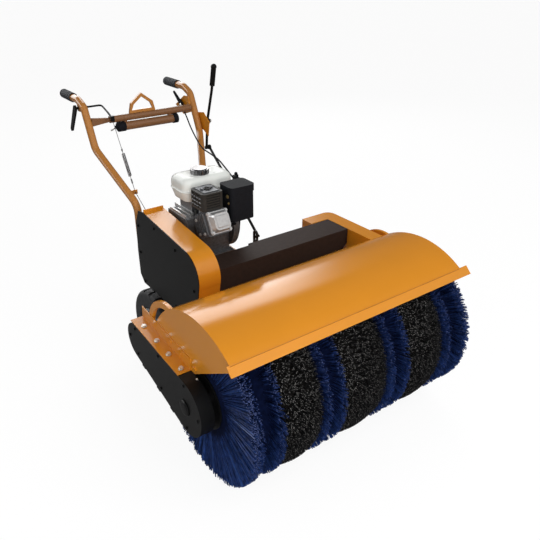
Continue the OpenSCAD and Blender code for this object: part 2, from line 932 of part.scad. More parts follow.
module cover_outline() {
    nose = [nose_y, nose_z];
    top = at(nose, nose_r, 90 + cover_top_a);
    translate(nose) circle(nose_r);
    polygon([at(nose, nose_r, nose_low_a), cover_front, cover_shin, cover_toe, cover_dip, cover_step,
        cover_foot, cover_rear_foot, cover_rear_low, cover_rear_mid, cover_rear_top,
        [cover_top_y, top[1] + (cover_top_y - top[0]) * tan(cover_top_a)], top]);
}

module belt_cover_panel() color(black) placed() difference() {
    x_plate(cover_x0, cover_x0 + sheet) cover_outline();
    x_rod(cover_x0 - over, cover_x0 + sheet + over, jack_c, shaft_r + sheet);
}

// The strap's profile: the cover's top and front edge, one sheet thick, with a hem at its rear end
module strap_outline() {
    nose = [nose_y, nose_z];
    in_r = nose_r - sheet;
    top = at(nose, in_r, 90 + cover_top_a);
    low = at(nose, in_r, nose_low_a);
    rear_y = cover_top_y + over;
    difference() {
        intersection() {
            cover_outline();
            translate([0, cover_shin[1]]) square([cover_top_y, nose_z]);
        }
        translate(nose) circle(in_r);
        polygon([low, cover_front + [sheet, 0], cover_shin + [sheet, 0], cover_shin + [sheet, -over],
            [rear_y, cover_shin[1] - over], [rear_y, top[1] + (rear_y - top[0]) * tan(cover_top_a)], top]);
    }
    translate([hem_y, top[1] + (hem_y - top[0]) * tan(cover_top_a)]) square([sheet, hem_h + sheet]);
}

module belt_cover_strap() color(paint) placed() {
    x_plate(cover_x0 + sheet, cover_x1 - sheet) strap_outline();
}

module belt_cover_back() color(paint) placed() {
    difference() {
        x_plate(cover_x1 - sheet, cover_x1) intersection() {
            cover_outline();
            square([back_rear_y, crank_z + crank_z]);
        }
        x_rod(cover_x1 - sheet - over, cover_x1 + over, jack_c, shaft_r + sheet);
        x_rod(cover_x1 - sheet - over, cover_x1 + over, counter_c, shaft_r + sheet);
        x_rod(cover_x1 - sheet - over, cover_x1 + over, [crank_y, crank_z], crank_r + sheet);
    }
    x_rod(idler_arm_x - sheet, cover_x1 - sheet / 2, idler_pivot, stud_r);
}

// Shaft guard: a folded cover open below, with a sloping right end and a lower left part
module guard_outline(inset) {
    polygon([[cover_x1 - over, guard_z0 - over], [guard_x1 - inset - guard_chamfer, guard_z0 - over],
        [guard_x1 - inset - guard_chamfer, guard_z0], [guard_x1 - inset, guard_z0 + guard_chamfer],
        [guard_x1 - inset, guard_z1 - inset], [cover_x1 - over, guard_z1 - inset]]);
}

module shaft_guard() color(black) placed() {
    difference() {
        translate([0, guard_y1, 0]) rotate([90, 0, 0])
            linear_extrude(guard_y1 - guard_y0) guard_outline(0);
        translate([0, guard_y1 - sheet, 0]) rotate([90, 0, 0])
            linear_extrude(guard_y1 - guard_y0 - sheet - sheet) guard_outline(sheet);
        x_box(cover_x1 - over - over, cover_x1 + weld_gap, guard_y0 - over, guard_y1 + over,
            guard_z0 - over - over, guard_z1 + over);
        x_box(cover_x1 - over, guard_x1 + over, guard_y0 - over, guard_y1 + over, guard_z0 - over - over,
            guard_z0);
        x_rod(rail_x0 - bearing_l - over, guard_x1 + over, counter_c, jack_bearing_r + bearing_flange_extra);
        translate([cover_x1 - over, guard_y1 - guard_step_h, guard_z1]) rotate([-guard_step_a, 0, 0])
            cube([guard_step_x - cover_x1 + over, guard_y1 - guard_y0, guard_y1 - guard_y0]);
    }
}

// Chassis

module rail_plan(inset) {
    r = rail_corner_r - inset;
    translate([rail_x1 - rail_corner_r, cross_y1 - rail_corner_r]) circle(r);
    translate([rail_x0 + inset, rail_y0])
        square([rail_x1 - rail_x0 - inset - inset, cross_y1 - rail_corner_r - rail_y0]);
    translate([rail_return_x, cross_y0 + inset])
        square([rail_x1 - rail_corner_r - rail_return_x, cross_y1 - cross_y0 - inset - inset]);
    translate([rail_x0 + inset, cross_y0 + inset])
        square([rail_x1 - rail_corner_r - rail_x0 - inset, cross_y1 - rail_corner_r - cross_y0 - inset]);
}

module right_rail() color(paint) placed() difference() {
    translate([0, 0, rail_z0]) linear_extrude(rail_z1 - rail_z0) rail_plan(0);
    translate([0, 0, rail_z0 - over]) linear_extrude(rail_z1 - rail_z0 - rail_t + over) difference() {
        rail_plan(rail_t);
        translate([rail_return_x - over, 0]) square([rail_t + over, cross_y1 + over]);
    }
    x_rod(rail_x0 - over, rail_x1 + over, [0, hood_z], hood_r + weld_gap);
}

module cross_member() color(paint) placed() {
    difference() {
        x_box(cover_x1, rail_return_x, cross_y0, cross_y1, rail_z0, rail_z0 + cross_h);
        x_box(cover_x1 - over, rail_return_x + over, cross_y0 + rail_t, cross_y1 - rail_t, rail_z0 + rail_t,
            rail_z0 + cross_h - rail_t);
    }
    difference() {
        x_box(left_rail_x1 - left_rail_w, left_rail_x1, left_rail_y0, cross_y1, rail_z0 - left_rail_h,
            rail_z0);
        x_box(left_rail_x1 - left_rail_w + rail_t, left_rail_x1 - rail_t, left_rail_y0 - over,
            cross_y1 + over, rail_z0 - left_rail_h + rail_t, rail_z0 - rail_t);
        x_rod(-hood_x, hood_x, [0, hood_z], hood_r + weld_gap);
    }
    bracket_x = rod_end.x + slot_half_l;
    x_box(bracket_x, bracket_x + shift_bracket_t, cross_y1, shift_y + shift_foot_r, shift_z - shift_foot_r,
        shift_z + shift_foot_r);
    x_rod(rod_end.x - slot_half_l - sheet, bracket_x, [shift_y, shift_z], stud_r);
}

module engine_deck() color(paint) placed() {
    x_box(cover_x1, deck_x1, cross_y1, deck_y1, deck_z - deck_t, deck_z);
    for (x = [cover_x1, deck_x1 - deck_flange_t])
        x_box(x, x + deck_flange_t, cross_y1, deck_y1, deck_z - deck_flange_h, deck_z - deck_t / 2);
}

module axle_bracket(x) {
    x_plate(x, x + bracket_t)
        polygon([[axle_y - bracket_foot_l / 2, axle_z], [axle_y + bracket_foot_l / 2, axle_z],
            [axle_y + bracket_foot_l / 2, deck_z - deck_t],
            [axle_y - bracket_top_l + bracket_foot_l / 2, deck_z - deck_t],
            [axle_y - bracket_top_l + bracket_foot_l / 2, deck_z - deck_flange_h]]);
}

module axle_beam() color(paint) placed() {
    hub_in = track / 2 - tyre_w / 2;
    hub_out = track / 2 + tyre_w / 2;
    x_box(-beam_half_l, beam_half_l, axle_y - beam_half, axle_y + beam_half, axle_z - beam_half,
        axle_z + beam_half);
    axle_bracket(max(cover_x1 + deck_flange_t, -beam_half_l));
    axle_bracket(deck_x1 - deck_flange_t - bracket_t);
    x_rod(-hub_out - collar_w, hub_out + collar_w, [axle_y, axle_z], axle_r);
    for (s = [-1, 1]) {
        inner = s * (beam_half_l + hub_in) / 2;
        half = (hub_in - beam_half_l) / 2;
        outer = s * (hub_out + collar_w / 2);
        x_rod(inner - half, inner + half, [axle_y, axle_z], collar_r);
        x_rod(outer - collar_w / 2, outer + collar_w / 2, [axle_y, axle_z], collar_r);
    }
}

// Wheels, drawn round the axle with the width along X

module wheel_at(side) {
    translate([side * track / 2, axle_y, axle_z]) rotate([0, 90, 0]) children();
}

module rim() difference() {
    h = tyre_w / 2 - free_gap;
    rotate_extrude() polygon([[axle_r + run_gap, -h], [hub_r, -h], [hub_r, -rim_t], [rim_r - rim_t, -rim_t],
        [rim_r - rim_t, -h + rim_t], [rim_bead_r, -h + rim_t], [rim_bead_r, -h + rim_t + rim_t],
        [rim_r, -h + rim_t + rim_t], [rim_r, h - rim_t - rim_t], [rim_bead_r, h - rim_t - rim_t],
        [rim_bead_r, h - rim_t], [rim_r - rim_t, h - rim_t], [rim_r - rim_t, rim_t], [hub_r, rim_t],
        [hub_r, h], [axle_r + run_gap, h]]);
    for (k = [0:rim_holes - 1]) rotate(k * 360 / rim_holes) translate([rim_hole_pcr, 0, -rim_t - over])
        cylinder(r = rim_hole_r, h = rim_t + rim_t + over + over);
}

module tyre() difference() {
    inner = rim_r + tyre_bead_gap;
    bead = rim_bead_r + tyre_bead_gap;
    h = tyre_w / 2 - rim_t - rim_t - tyre_bead_gap - free_gap;
    wide = tyre_w / 2;
    s = tyre_shoulder;
    rotate_extrude() union() {
        polygon([[inner, -h], [bead, -h], [inner + s, -wide], [tyre_r - s, -wide], [tyre_r - s, -wide + s],
            [tyre_r, -wide + s], [tyre_r, wide - s], [tyre_r - s, wide - s], [tyre_r - s, wide],
            [inner + s, wide], [bead, h], [inner, h]]);
        for (e = [-1, 1]) translate([tyre_r - s, e * (wide - s)]) circle(s);
    }
    for (k = [0:tread_cuts - 1], e = [-1, 1]) rotate((k + (e + 1) / 4) * 360 / tread_cuts)
        translate([tyre_r - tread_depth, -tread_cut_w / 2, e > 0 ? 0 : -wide - over])
            cube([tread_depth + over, tread_cut_w, wide + over]);
}

module left_rim() color(steel) placed() wheel_at(-1) rim();
module right_rim() color(steel) placed() wheel_at(1) rim();
module left_tyre() color(rubber) placed() wheel_at(-1) tyre();
module right_tyre() color(rubber) placed() wheel_at(1) tyre();

// Handle

module handle_plate() color(paint) placed() {
    x_box(left_foot_x - tube_r, right_foot_x + tube_r, deck_y1 - plate_thick, deck_y1, deck_z, plate_z1);
}

function handle_path(x, foot_x) = [[foot_x, foot_y, foot_z], [foot_x, foot_y, foot_bend_z],
    [x, kink_y, kink_z], [x, joint_y, joint_z], [x, neck_y, neck_z], [x, shoulder_y, grip_z],
    [x, handle_y, grip_z]];

module handle_tube(x, foot_x) {
    p = handle_path(x, foot_x);
    bends = concat(corner_arc(p[0], p[1], p[2], bend_r, 4), corner_arc(p[1], p[2], p[3], bend_r, 4),
        corner_arc(p[3], p[4], p[5], bend_r / 2, 2), corner_arc(p[4], p[5], p[6], bend_r / 2, 3));
    tube_along(concat([p[0]], bends, [p[6]]), tube_r, 16);
}

module left_handle_tube() color(paint) placed() {
    handle_tube(left_x, left_foot_x);
    difference() {
        x_box(left_x - ear_t / 2, left_x + ear_t / 2, clutch_y - clutch_root_r, clutch_y + clutch_root_r,
            clutch_z - clutch_root_r, grip_z - tube_r / 2);
        x_rod(left_x - ear_t, left_x + ear_t, [clutch_y, clutch_z], clutch_shaft_r + run_gap);
    }
    difference() {
        translate([guide_root_x, guide_pt.y - guide_w / 2, guide_pt.z - guide_h / 2])
            cube([guide_pt.x - guide_root_x + guide_h / 2, guide_w, guide_h]);
        translate(guide_pt) rotate([-guide_a, 0, 0])
            cylinder(r = guide_hole_r, h = guide_h + guide_h, center = true);
    }
}

module right_handle_tube() color(paint) placed() handle_tube(right_x, right_foot_x);

module grip(x) {
    translate([x, handle_y + grip_t, grip_z]) rotate([90, 0, 0]) difference() {
        rotate_extrude() polygon([[0, 0], [tube_r + grip_t - grip_rib, 0],
            for (k = [0:grip_ribs - 1]) each [[tube_r + grip_t, grip_l * (k + rib_shares[0]) / grip_ribs],
                [tube_r + grip_t, grip_l * (k + rib_shares[1]) / grip_ribs],
                [tube_r + grip_t - grip_rib, grip_l * (k + rib_shares[2]) / grip_ribs]],
            [tube_r + grip_t, grip_l], [0, grip_l]]);
        translate([0, 0, grip_t - grip_gap]) cylinder(r = tube_r + grip_gap, h = grip_l);
    }
}

module left_grip() color(black) placed() grip(left_x);
module right_grip() color(black) placed() grip(right_x);

module handle_crossbar() color(paint) placed() {
    bar_x1 = throttle_x - weld_gap;
    x_rod(bar_x0, bar_x1, [joint_y, joint_z], bar_r);
    translate([0, joint_y + gusset_t / 2, joint_z]) rotate([90, 0, 0]) linear_extrude(gusset_t)
        polygon([[left_x + tube_r, -gusset_h / 2], [bar_x0 + bar_r, -bar_r / 2], [bar_x0 + bar_r, bar_r / 2],
            [left_x + tube_r, gusset_h / 2]]);
    for (x = [doc_x0 + doc_cap_l + doc_lug_w, doc_x1 - doc_cap_l - doc_lug_w])
        x_box(x - doc_lug_w / 2, x + doc_lug_w / 2, joint_y - bar_r / 2, joint_y + bar_r / 2,
            joint_z - doc_drop + doc_r + weld_gap, joint_z);
}

module lifting_eye() color(paint) placed() {
    z0 = joint_z + bar_r + weld_gap;
    translate([eye_x, joint_y + eye_t / 2, z0]) rotate([90, 0, 0]) linear_extrude(eye_t) difference() {
        polygon([[-eye_w / 2, 0], [eye_w / 2, 0], [eye_w * eye_shoulder_share, eye_shoulder_h], [0, eye_h],
            [-eye_w * eye_shoulder_share, eye_shoulder_h]]);
        polygon([[eye_bar - eye_w / 2, eye_bar], [eye_w / 2 - eye_bar, eye_bar],
            [eye_w * eye_shoulder_share - eye_bar, eye_shoulder_h - eye_bar / 2],
            [0, eye_h - eye_bar - sheet],
            [eye_bar - eye_w * eye_shoulder_share, eye_shoulder_h - eye_bar / 2]]);
    }
}

doc_c = [joint_y, joint_z - doc_drop];

module document_tube() color(paint) placed() {
    difference() {
        x_rod(doc_x0, doc_x1, doc_c, doc_r);
        x_rod(doc_x0 + doc_cap_l, doc_x1 + over, doc_c, doc_r - doc_wall);
    }
}

module document_cap() color(black) placed() {
    lip = doc_r + doc_cap_wall;
    difference() {
        x_rod(doc_x1 - doc_cap_l + sheet, doc_x1 + sheet, doc_c, lip);
        x_rod(doc_x1 - doc_cap_l - over, doc_x1 + run_gap, doc_c, doc_r + run_gap);
    }
}

// Clutch lever: hand lever, cross shaft and crank in one piece
module clutch_lever() color(black) placed() {
    x_plate(clutch_end_x, clutch_end_x + clutch_lever_t)
        pair_outline([clutch_y, clutch_z], clutch_root_r, clutch_tip, clutch_tip_r);
    x_rod(clutch_end_x, crank_pts[0].x + over, [clutch_y, clutch_z], clutch_shaft_r);
    tube_along(bent(crank_pts, crank_bend, 3), crank_rod_r, 10);
    translate(crank_pts[3] - [clip_w / 2, clip_w / 2, clip_h / 2]) cube([clip_w, clip_w, clip_h]);
}

wire_eye = concat([idler_arm_x + idler_arm_t / 2], idler_c());
wire_lean = turn_of(idler_c(), [guide_pt.y, guide_pt.z]) - turn_of(idler_c(), idler_pivot);
wire_off = (boss_r + free_gap + wire_r * cos(wire_lean)) / sin(wire_lean);
wire_tip = wire_eye + unit(guide_pt - wire_eye) * wire_off;
spring_a = wire_top + (guide_pt - wire_top) * spring_from_share;
spring_b = wire_top + (guide_pt - wire_top) * spring_to_share;

module clutch_wire() color(steel) placed() {
    along = unit(guide_pt - wire_top);
    tube_along([wire_top, spring_a - along * weld_gap], wire_r, 8);
    tube_along([spring_b + along * weld_gap, guide_pt, wire_tip], wire_r, 8);
}

// The spring runs out from its axis in the first half turn and back in the last
function spring_points() = let (u = unit(spring_b - spring_a), l = norm(spring_b - spring_a),
        s = unit(cross(u, [1, 0, 0])), t = cross(u, s), n = spring_turns * spring_steps, lead = spring_r)
    concat([spring_a], [for (i = [0:n])
        let (r = spring_r * min(1, 2 * i / spring_steps, 2 * (n - i) / spring_steps),
            a = 360 * i / spring_steps)
        spring_a + u * (lead + (l - lead - lead) * i / n) + r * (s * cos(a) + t * sin(a))], [spring_b]);

function least_gap(p, apart) = min([for (i = [0:len(p) - 1 - apart])
    min([for (j = [i + apart:len(p) - 1]) norm(p[i] - p[j])])]);

module clutch_spring() color(steel) placed() {
    p = spring_points();
    echo(spring_least_gap = least_gap(p, spring_steps - 1) - spring_wire_r - spring_wire_r);
    tube_along(p, spring_wire_r, 6);
}

// Throttle

module throttle_plate() color(paint) placed() {
    x_plate(throttle_x, throttle_x + sheet) polygon(throttle_plate_pts);
    x_rod(throttle_x - throttle_lever_t - sheet - sheet, throttle_x + sheet, [throttle_y, throttle_z],
        throttle_stud_r);
}

module throttle_lever() color(black) placed() difference() {
    x1 = throttle_x - sheet - sheet;
    x_plate(x1 - throttle_lever_t, x1)
        pair_outline([throttle_y, throttle_z], throttle_root_r, throttle_tip, throttle_tip_r);
    x_rod(x1 - throttle_lever_t - over, x1 + over, [throttle_y, throttle_z], throttle_stud_r + run_gap);
}

module throttle_cable() color(black) placed() tube_along(bent(cable_pts, cable_bend, 2), cable_r, 8);

// Drive lever and its linkage

module lever_bracket() color(paint) placed() {
    x_plate(lever_x - sheet - sheet, lever_x - sheet) polygon(lever_plate_pts);
    x_rod(lever_x - sheet - sheet, lever_x + lever_w + sheet, [pivot_y, pivot_z], stud_r);
}

function on_lever(p) = [lever_x + lever_w / 2, p[0], p[1]];

module drive_lever() color(black) placed() {
    top_a = on_lever(lever_elbow);
    top_b = on_lever(lever_top);
    difference() {
        union() {
            x_rod(lever_x, lever_x + lever_w, [pivot_y, pivot_z], lever_boss_r);
            tube_along([on_lever(lever_low), on_lever([pivot_y, pivot_z]), top_a, top_b], lever_rod_r, 12);
        }
        x_rod(lever_x - over, lever_x + lever_w + over, [pivot_y, pivot_z], stud_r + run_gap);
    }
    rod_between(top_a + (top_b - top_a) * lever_grip_from_share, top_b, lever_grip_r);
    translate(top_b) sphere(lever_grip_r + lever_knob_out);
    x_rod(lever_x, lever_x + lever_w, lever_low, lever_low_r);
    x_rod(lever_x, rod_x + rod_eye_t / 2 + sheet, lever_low, pin_r);
}

rod_x = lever_x + lever_w + rod_gap + rod_eye_t / 2;

module control_rod() color(black) placed() {
    top = [rod_x, lever_low[0], lever_low[1]];
    difference() {
        union() {
            x_rod(rod_x - rod_eye_t / 2, rod_x + rod_eye_t / 2, lever_low, rod_eye_r);
            rod_between(top + unit(rod_end - top) * rod_eye_r / 2, rod_end, rod_r);
        }
        x_rod(rod_x - lever_w, rod_x + lever_w, lever_low, pin_r + run_gap);
    }
    x_rod(rod_end.x - slot_half_l - shift_t / 2, rod_end.x + over, [rod_end.y, rod_end.z], pin_r);
}

module shift_arm() color(steel) placed() {
    x1 = rod_end.x - slot_half_l + shift_t;
    slot_r = pin_r + slot_gap;
    difference() {
        x_plate(x1 - shift_t, x1) difference() {
            pair_outline([shift_y, shift_z], shift_foot_r, [shift_y, shift_top_z + slot_half_l / 2],
                shift_top_r);
            translate([rod_end.y - slot_r, rod_end.z - slot_half_l])
                square([slot_r + slot_r, slot_half_l + slot_half_l]);
        }
        x_rod(x1 - shift_t - over, x1 + over, [shift_y, shift_z], stud_r + run_gap);
    }
}

// Engine

module barrel_frame() {
    translate([bore_x, crank_y, crank_z]) rotate([90 - tilt, 0, 0]) children();
}

module engine_block() color(alloy) placed() {
    x_box(pto_x, pto_x + case_len + base_t, base_y0, base_y1, deck_z, deck_z + base_t);
    x_box(pto_x, pto_x + case_len, case_y0, case_y1, deck_z, case_top);
    x_rod(pto_x - free_gap / 2, pto_x + base_t, [crank_y, crank_z], case_top - crank_z);
    intersection() {
        x_rod(pto_x + case_len, shroud_x1, [crank_y, crank_z], shroud_r);
        x_box(pto_x, shroud_x1, case_y0 - shroud_r, case_y1 + shroud_r, deck_z, crank_z + shroud_r);
    }
    barrel_frame() {
        translate([0, 0, barrel_root]) linear_extrude(barrel_end - barrel_root)
            rounded_rect(barrel_w - fin_out - fin_out, barrel_h - fin_out - fin_out, head_corner);
        for (k = [0:fin_n - 1]) translate([0, 0, fin_from + k * fin_step]) linear_extrude(fin_t)
            rounded_rect(barrel_w, barrel_h, head_corner);
    }
    x_box(carb_x0, carb_x0 + carb_l, carb_y0, carb_y1, carb_z0, cleaner_z0 - weld_gap);
    for (x = [tank_x0 + tank_foot_w, pto_x + case_len - tank_foot_w - tank_foot_w])
        x_box(x, x + tank_foot_w, case_y0 + tank_foot_w, case_y1 - tank_foot_w, case_top, tank_z0 - weld_gap);
    x_box(shroud_x1 - control_root, control_x1, control_y0, control_y1, control_z0, control_z0 + base_t);
    x_box(control_x0, control_x1, control_y0, control_y1, control_z0, control_z1);
    for (c = [choke_c, valve_c]) translate([c[0], carb_y0, c[1]]) rotate([90, 0, 0])
        cylinder(r = small_stud_r, h = small_lever_t + sheet);
    x_rod(pto_x + case_len, shroud_x1 + switch_t - sheet - sheet, [switch_y, switch_z], small_stud_r);
    pipe_z = crank_z + barrel_h - fin_out;
    translate([muffler_x0 + muffler_l / 2, muffler_y0 + muffler_w * pipe_share, pipe_z])
        cylinder(r = pipe_r, h = muffler_z0 - weld_gap - pipe_z);
}

module head_cover() color(alloy) placed() barrel_frame() {
    translate([0, 0, head_from + weld_gap]) linear_extrude(head_flange_t)
        rounded_rect(head_w + head_flange_out, head_h + head_flange_out, head_corner);
    hull() {
        translate([0, 0, head_from + head_flange_t]) linear_extrude(sheet)
            rounded_rect(head_w, head_h, head_corner, $fn = 32);
        translate([0, 0, head_from + head_l - sheet]) linear_extrude(sheet)
            rounded_rect(head_w - head_corner, head_h - head_corner, head_corner, $fn = 32);
    }
}

module tank_slab(z, inset) {
    translate([tank_x0 + tank_l / 2, tank_y, z]) linear_extrude(tank_slab)
        rounded_rect(tank_l - inset - inset, tank_w - inset - inset, tank_corner - inset / 2, $fn = 32);
}

module fuel_tank() color(cream) placed() {
    hull() {
        tank_slab(tank_z0, tank_foot_in);
        tank_slab(tank_seam_z - tank_slab, 0);
    }
    tank_slab(tank_seam_z - tank_slab / 2, -tank_slab);
    hull() {
        tank_slab(tank_seam_z, 0);
        tank_slab(tank_shoulder_z, tank_slab);
        tank_slab(tank_z1 - tank_slab, tank_in);
    }
    translate([cap_x, cap_y, tank_z1 - tank_slab]) cylinder(r = tank_neck_r, h = tank_neck_h + tank_slab);
}

module fuel_cap() color(steel) placed() translate([cap_x, cap_y, tank_z1 + free_gap]) difference() {
    union() {
        linear_extrude(cap_h - sheet) {
            circle(cap_r);
            for (k = [0:cap_ribs - 1])
                translate(at([0, 0], cap_r - cap_rib_r / 2, k * 360 / cap_ribs)) circle(cap_rib_r);
        }
        translate([0, 0, cap_h / 2]) cylinder(r = cap_r - cap_rib_r - cap_rib_r, h = cap_h / 2);
    }
    translate([0, 0, -over]) cylinder(r = tank_neck_r + run_gap, h = tank_neck_h + over);
}

module muffler() color(black) placed() {
    x_mid = muffler_x0 + muffler_l / 2;
    y_mid = muffler_y0 + muffler_w / 2;
    difference() {
        translate([x_mid, y_mid, muffler_z0]) linear_extrude(muffler_h)
            rounded_rect(muffler_l, muffler_w, muffler_corner);
        for (k = [0:louvre_n - 1]) let (z = muffler_z0 + muffler_h * (k + 1) / (louvre_n + 1)) {
            x_box(muffler_x0 - over, muffler_x0 + louvre_d, muffler_y0 + louvre_in,
                muffler_y0 + muffler_w - louvre_in, z, z + louvre_h);
            x_box(muffler_x0 + louvre_in, muffler_x0 + muffler_l - louvre_in, muffler_y0 - over,
                muffler_y0 + louvre_d, z, z + louvre_h);
        }
    }
}

module air_cleaner() color(black) placed() {
    mid = [cleaner_x0 + cleaner_l / 2, cleaner_y0 + cleaner_w / 2];
    translate([mid[0], mid[1], cleaner_z0]) linear_extrude(cleaner_h - cleaner_lid_t)
        rounded_rect(cleaner_l - cleaner_lid_out, cleaner_w - cleaner_lid_out, cleaner_corner);
    translate([mid[0], mid[1], cleaner_z0 + cleaner_h - cleaner_lid_t]) linear_extrude(cleaner_lid_t)
        rounded_rect(cleaner_l, cleaner_w, cleaner_corner);
}

module recoil_cover() color(black) placed() difference() {
    x0 = shroud_x1 + weld_gap;
    translate([x0, crank_y, crank_z]) rotate([0, 90, 0]) rotate_extrude()
        polygon([[0, 0], [recoil_r, 0], [recoil_r, recoil_w * recoil_rim_share],
            [recoil_nose_r, recoil_w], [0, recoil_w]]);
    for (k = [0:recoil_ribs - 1])
        translate([x0 + recoil_w / 2, crank_y, crank_z]) rotate([k * 360 / recoil_ribs, 0, 0])
            translate([0, recoil_nose_r / 2, -recoil_slot_w / 2])
            cube([recoil_w, recoil_nose_r * recoil_rim_share, recoil_slot_w]);
}

module recoil_handle() color(black) placed() {
    x0 = shroud_x1 + free_gap;
    x1 = x0 + recoil_w * recoil_rim_share + pull_stem_l;
    x_rod(x0, x1, [pull_y, pull_z - pull_r], pull_stem_r);
    translate([x1, pull_y - pull_l / 2, pull_z - pull_r]) rotate([-90, 0, 0])
        cylinder(r = pull_r, h = pull_l);
}

// A small flat lever on a stud that points forward
module small_lever(c) {
    translate([0, carb_y0 - sheet, 0]) rotate([90, 0, 0]) linear_extrude(small_lever_t) difference() {
        pair_outline(c, small_root_r, c + [small_lever_l, 0], small_tip_r);
        translate(c) circle(small_stud_r + run_gap);
    }
}

module choke_lever() color(black) placed() small_lever(choke_c);
module fuel_valve() color(black) placed() small_lever(valve_c);

module stop_switch() color(black) placed() difference() {
    x0 = shroud_x1 + free_gap;
    union() {
        x_rod(x0, x0 + switch_t, [switch_y, switch_z], switch_r);
        x_box(x0 + switch_t / 2, x0 + switch_t + switch_r, switch_y - sheet, switch_y + sheet,
            switch_z - switch_r / 2, switch_z + switch_r / 2);
    }
    x_rod(x0 - over, x0 + switch_t - sheet, [switch_y, switch_z], small_stud_r + run_gap);
}

hood_shell();
hood_sides();
case_flange();
chain_case_back();
chain_case_cover();
right_arm();
shaft_bearings();
brush_core();
blue_bristles();
wire_bristles();
brush_sprocket();
drive_chains();
jackshaft();
countershaft();
shaft_guard();
belt_cover_panel();
belt_cover_strap();
belt_cover_back();
drive_belt();
engine_pulley();
idler_arm();
idler_pulley();
right_rail();
cross_member();
engine_deck();
axle_beam();
left_rim();
left_tyre();
right_rim();
right_tyre();
handle_plate();
left_handle_tube();
right_handle_tube();
handle_crossbar();
lifting_eye();
left_grip();
right_grip();
document_tube();
document_cap();
clutch_lever();
clutch_wire();
clutch_spring();
throttle_plate();
throttle_lever();
throttle_cable();
lever_bracket();
drive_lever();
control_rod();
shift_arm();
engine_block();
head_cover();
fuel_tank();
fuel_cap();
muffler();
air_cleaner();
recoil_cover();
recoil_handle();
choke_lever();
fuel_valve();
stop_switch();
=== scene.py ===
"""Looks for the walk-behind power brush sweeper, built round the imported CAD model.

Places are in millimetres in the machine's own frame: X along the brush from the hood's middle, Y to the rear
from the centre of the hood's arc, Z up from the ground. Shape.piece() turns them into the frame's metres.
The lamps and the floor are in the frame's metres.
"""

import json
import math
import random

import bmesh
import bpy
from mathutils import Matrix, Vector


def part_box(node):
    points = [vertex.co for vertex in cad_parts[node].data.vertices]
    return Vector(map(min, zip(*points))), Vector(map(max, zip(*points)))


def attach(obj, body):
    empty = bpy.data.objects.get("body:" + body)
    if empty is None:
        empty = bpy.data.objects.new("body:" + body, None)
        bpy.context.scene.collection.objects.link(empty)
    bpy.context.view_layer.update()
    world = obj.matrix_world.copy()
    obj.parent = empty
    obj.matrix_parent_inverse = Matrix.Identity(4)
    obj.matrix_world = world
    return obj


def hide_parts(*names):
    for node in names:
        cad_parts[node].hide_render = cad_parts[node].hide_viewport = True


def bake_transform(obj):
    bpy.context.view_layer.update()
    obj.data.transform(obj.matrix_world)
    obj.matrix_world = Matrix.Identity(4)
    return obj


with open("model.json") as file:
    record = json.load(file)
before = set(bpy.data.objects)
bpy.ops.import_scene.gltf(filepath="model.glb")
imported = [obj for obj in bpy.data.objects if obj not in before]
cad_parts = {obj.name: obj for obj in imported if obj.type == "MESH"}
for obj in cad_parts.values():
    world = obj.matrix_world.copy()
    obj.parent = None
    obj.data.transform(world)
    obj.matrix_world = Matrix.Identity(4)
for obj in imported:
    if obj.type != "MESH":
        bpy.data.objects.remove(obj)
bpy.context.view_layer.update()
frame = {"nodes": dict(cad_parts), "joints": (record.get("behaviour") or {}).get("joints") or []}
nodes = frame["nodes"]

MM = 0.001
FULL_TURN = 2 * math.pi
BRUSH_R = 290
BRUSH_BEHIND_HOOD = 15
RANDOM_SEED = 7
random.seed(RANDOM_SEED)


# Places

def pivot(name):
    """A joint's place, in the frame's metres."""
    return Vector(next(j["pos_m"] for j in frame["joints"] if j["name"] == name))


hood_low, hood_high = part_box("hood_sides")
origin = Vector(((hood_low.x + hood_high.x) / 2, pivot("brush_spin").y - BRUSH_BEHIND_HOOD * MM, 0))


def to_frame(p):
    return Vector(p) * MM + origin


def to_machine(p):
    return (Vector(p) - origin) / MM


def node_box(name):
    """A CAD node's lowest and highest corner, in machine millimetres."""
    low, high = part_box(name)
    return to_machine(low), to_machine(high)


# Camera, floor and light

CAMERA_PLACE = (-1153.6, -1285.3, 1515.0)
CAMERA_AZIMUTH = math.radians(-36.12)
CAMERA_ELEVATION = math.radians(27.8)
CAMERA_LENS = 39.76
CAMERA_SENSOR = 36
CAMERA_FAR = 300
FLOOR_HALF = 60.0
FLOOR_COLOUR = (0.36, 0.36, 0.36, 1)
FLOOR_ROUGHNESS = 0.9
FLOOR_SPECULAR = 0.1
FLOOR_GLOW = 1.3
FLOOR_GLOW_SHARE = 0.7
SKY_COLOUR = (1, 1, 1, 1)
SKY_DULL = 0.22
SKY_BRIGHT = 0.80
SKY_BRIGHT_WAY = (0.42, 0.72, 0.55)
SKY_BRIGHT_FROM = 0.40
SHEEN_DULL = 0.10
SHEEN_BRIGHT = 4.4
SHEEN_FADES = (("Z", 0.10, 0.20), ("Z", 0.70, 0.63), ("Y", 0.20, 0.50), ("X", 0.61, 0.51))
SHEEN_FRONT = 0.6
SHEEN_FRONT_FADE = (-0.1, -0.6)
# Each lamp's place, the point it is aimed at, its size and its power
LAMPS = {
    "key": ((0.7, -3.0, 3.3), (0, 0, 0.4), 2.6, 80),
    "left_fill": ((-3.4, -0.8, 2.0), (0, 0, 0.4), 2.4, 24),
    "low_front": ((-1.0, -2.6, 0.4), (0, -0.5, 0.2), 1.2, 30),
    "rear_fill": ((2.6, 3.2, 2.6), (0, 0, 0.4), 2.4, 40),
}


def add_object(name, data):
    made = bpy.data.objects.new(name, data)
    bpy.context.scene.collection.objects.link(made)
    return made


def aim(thing, place, forward):
    """Puts the camera or a lamp at a place and turns it to look forward."""
    thing.location = place
    thing.rotation_mode = "QUATERNION"
    thing.rotation_quaternion = forward.to_track_quat("-Z", "Y")


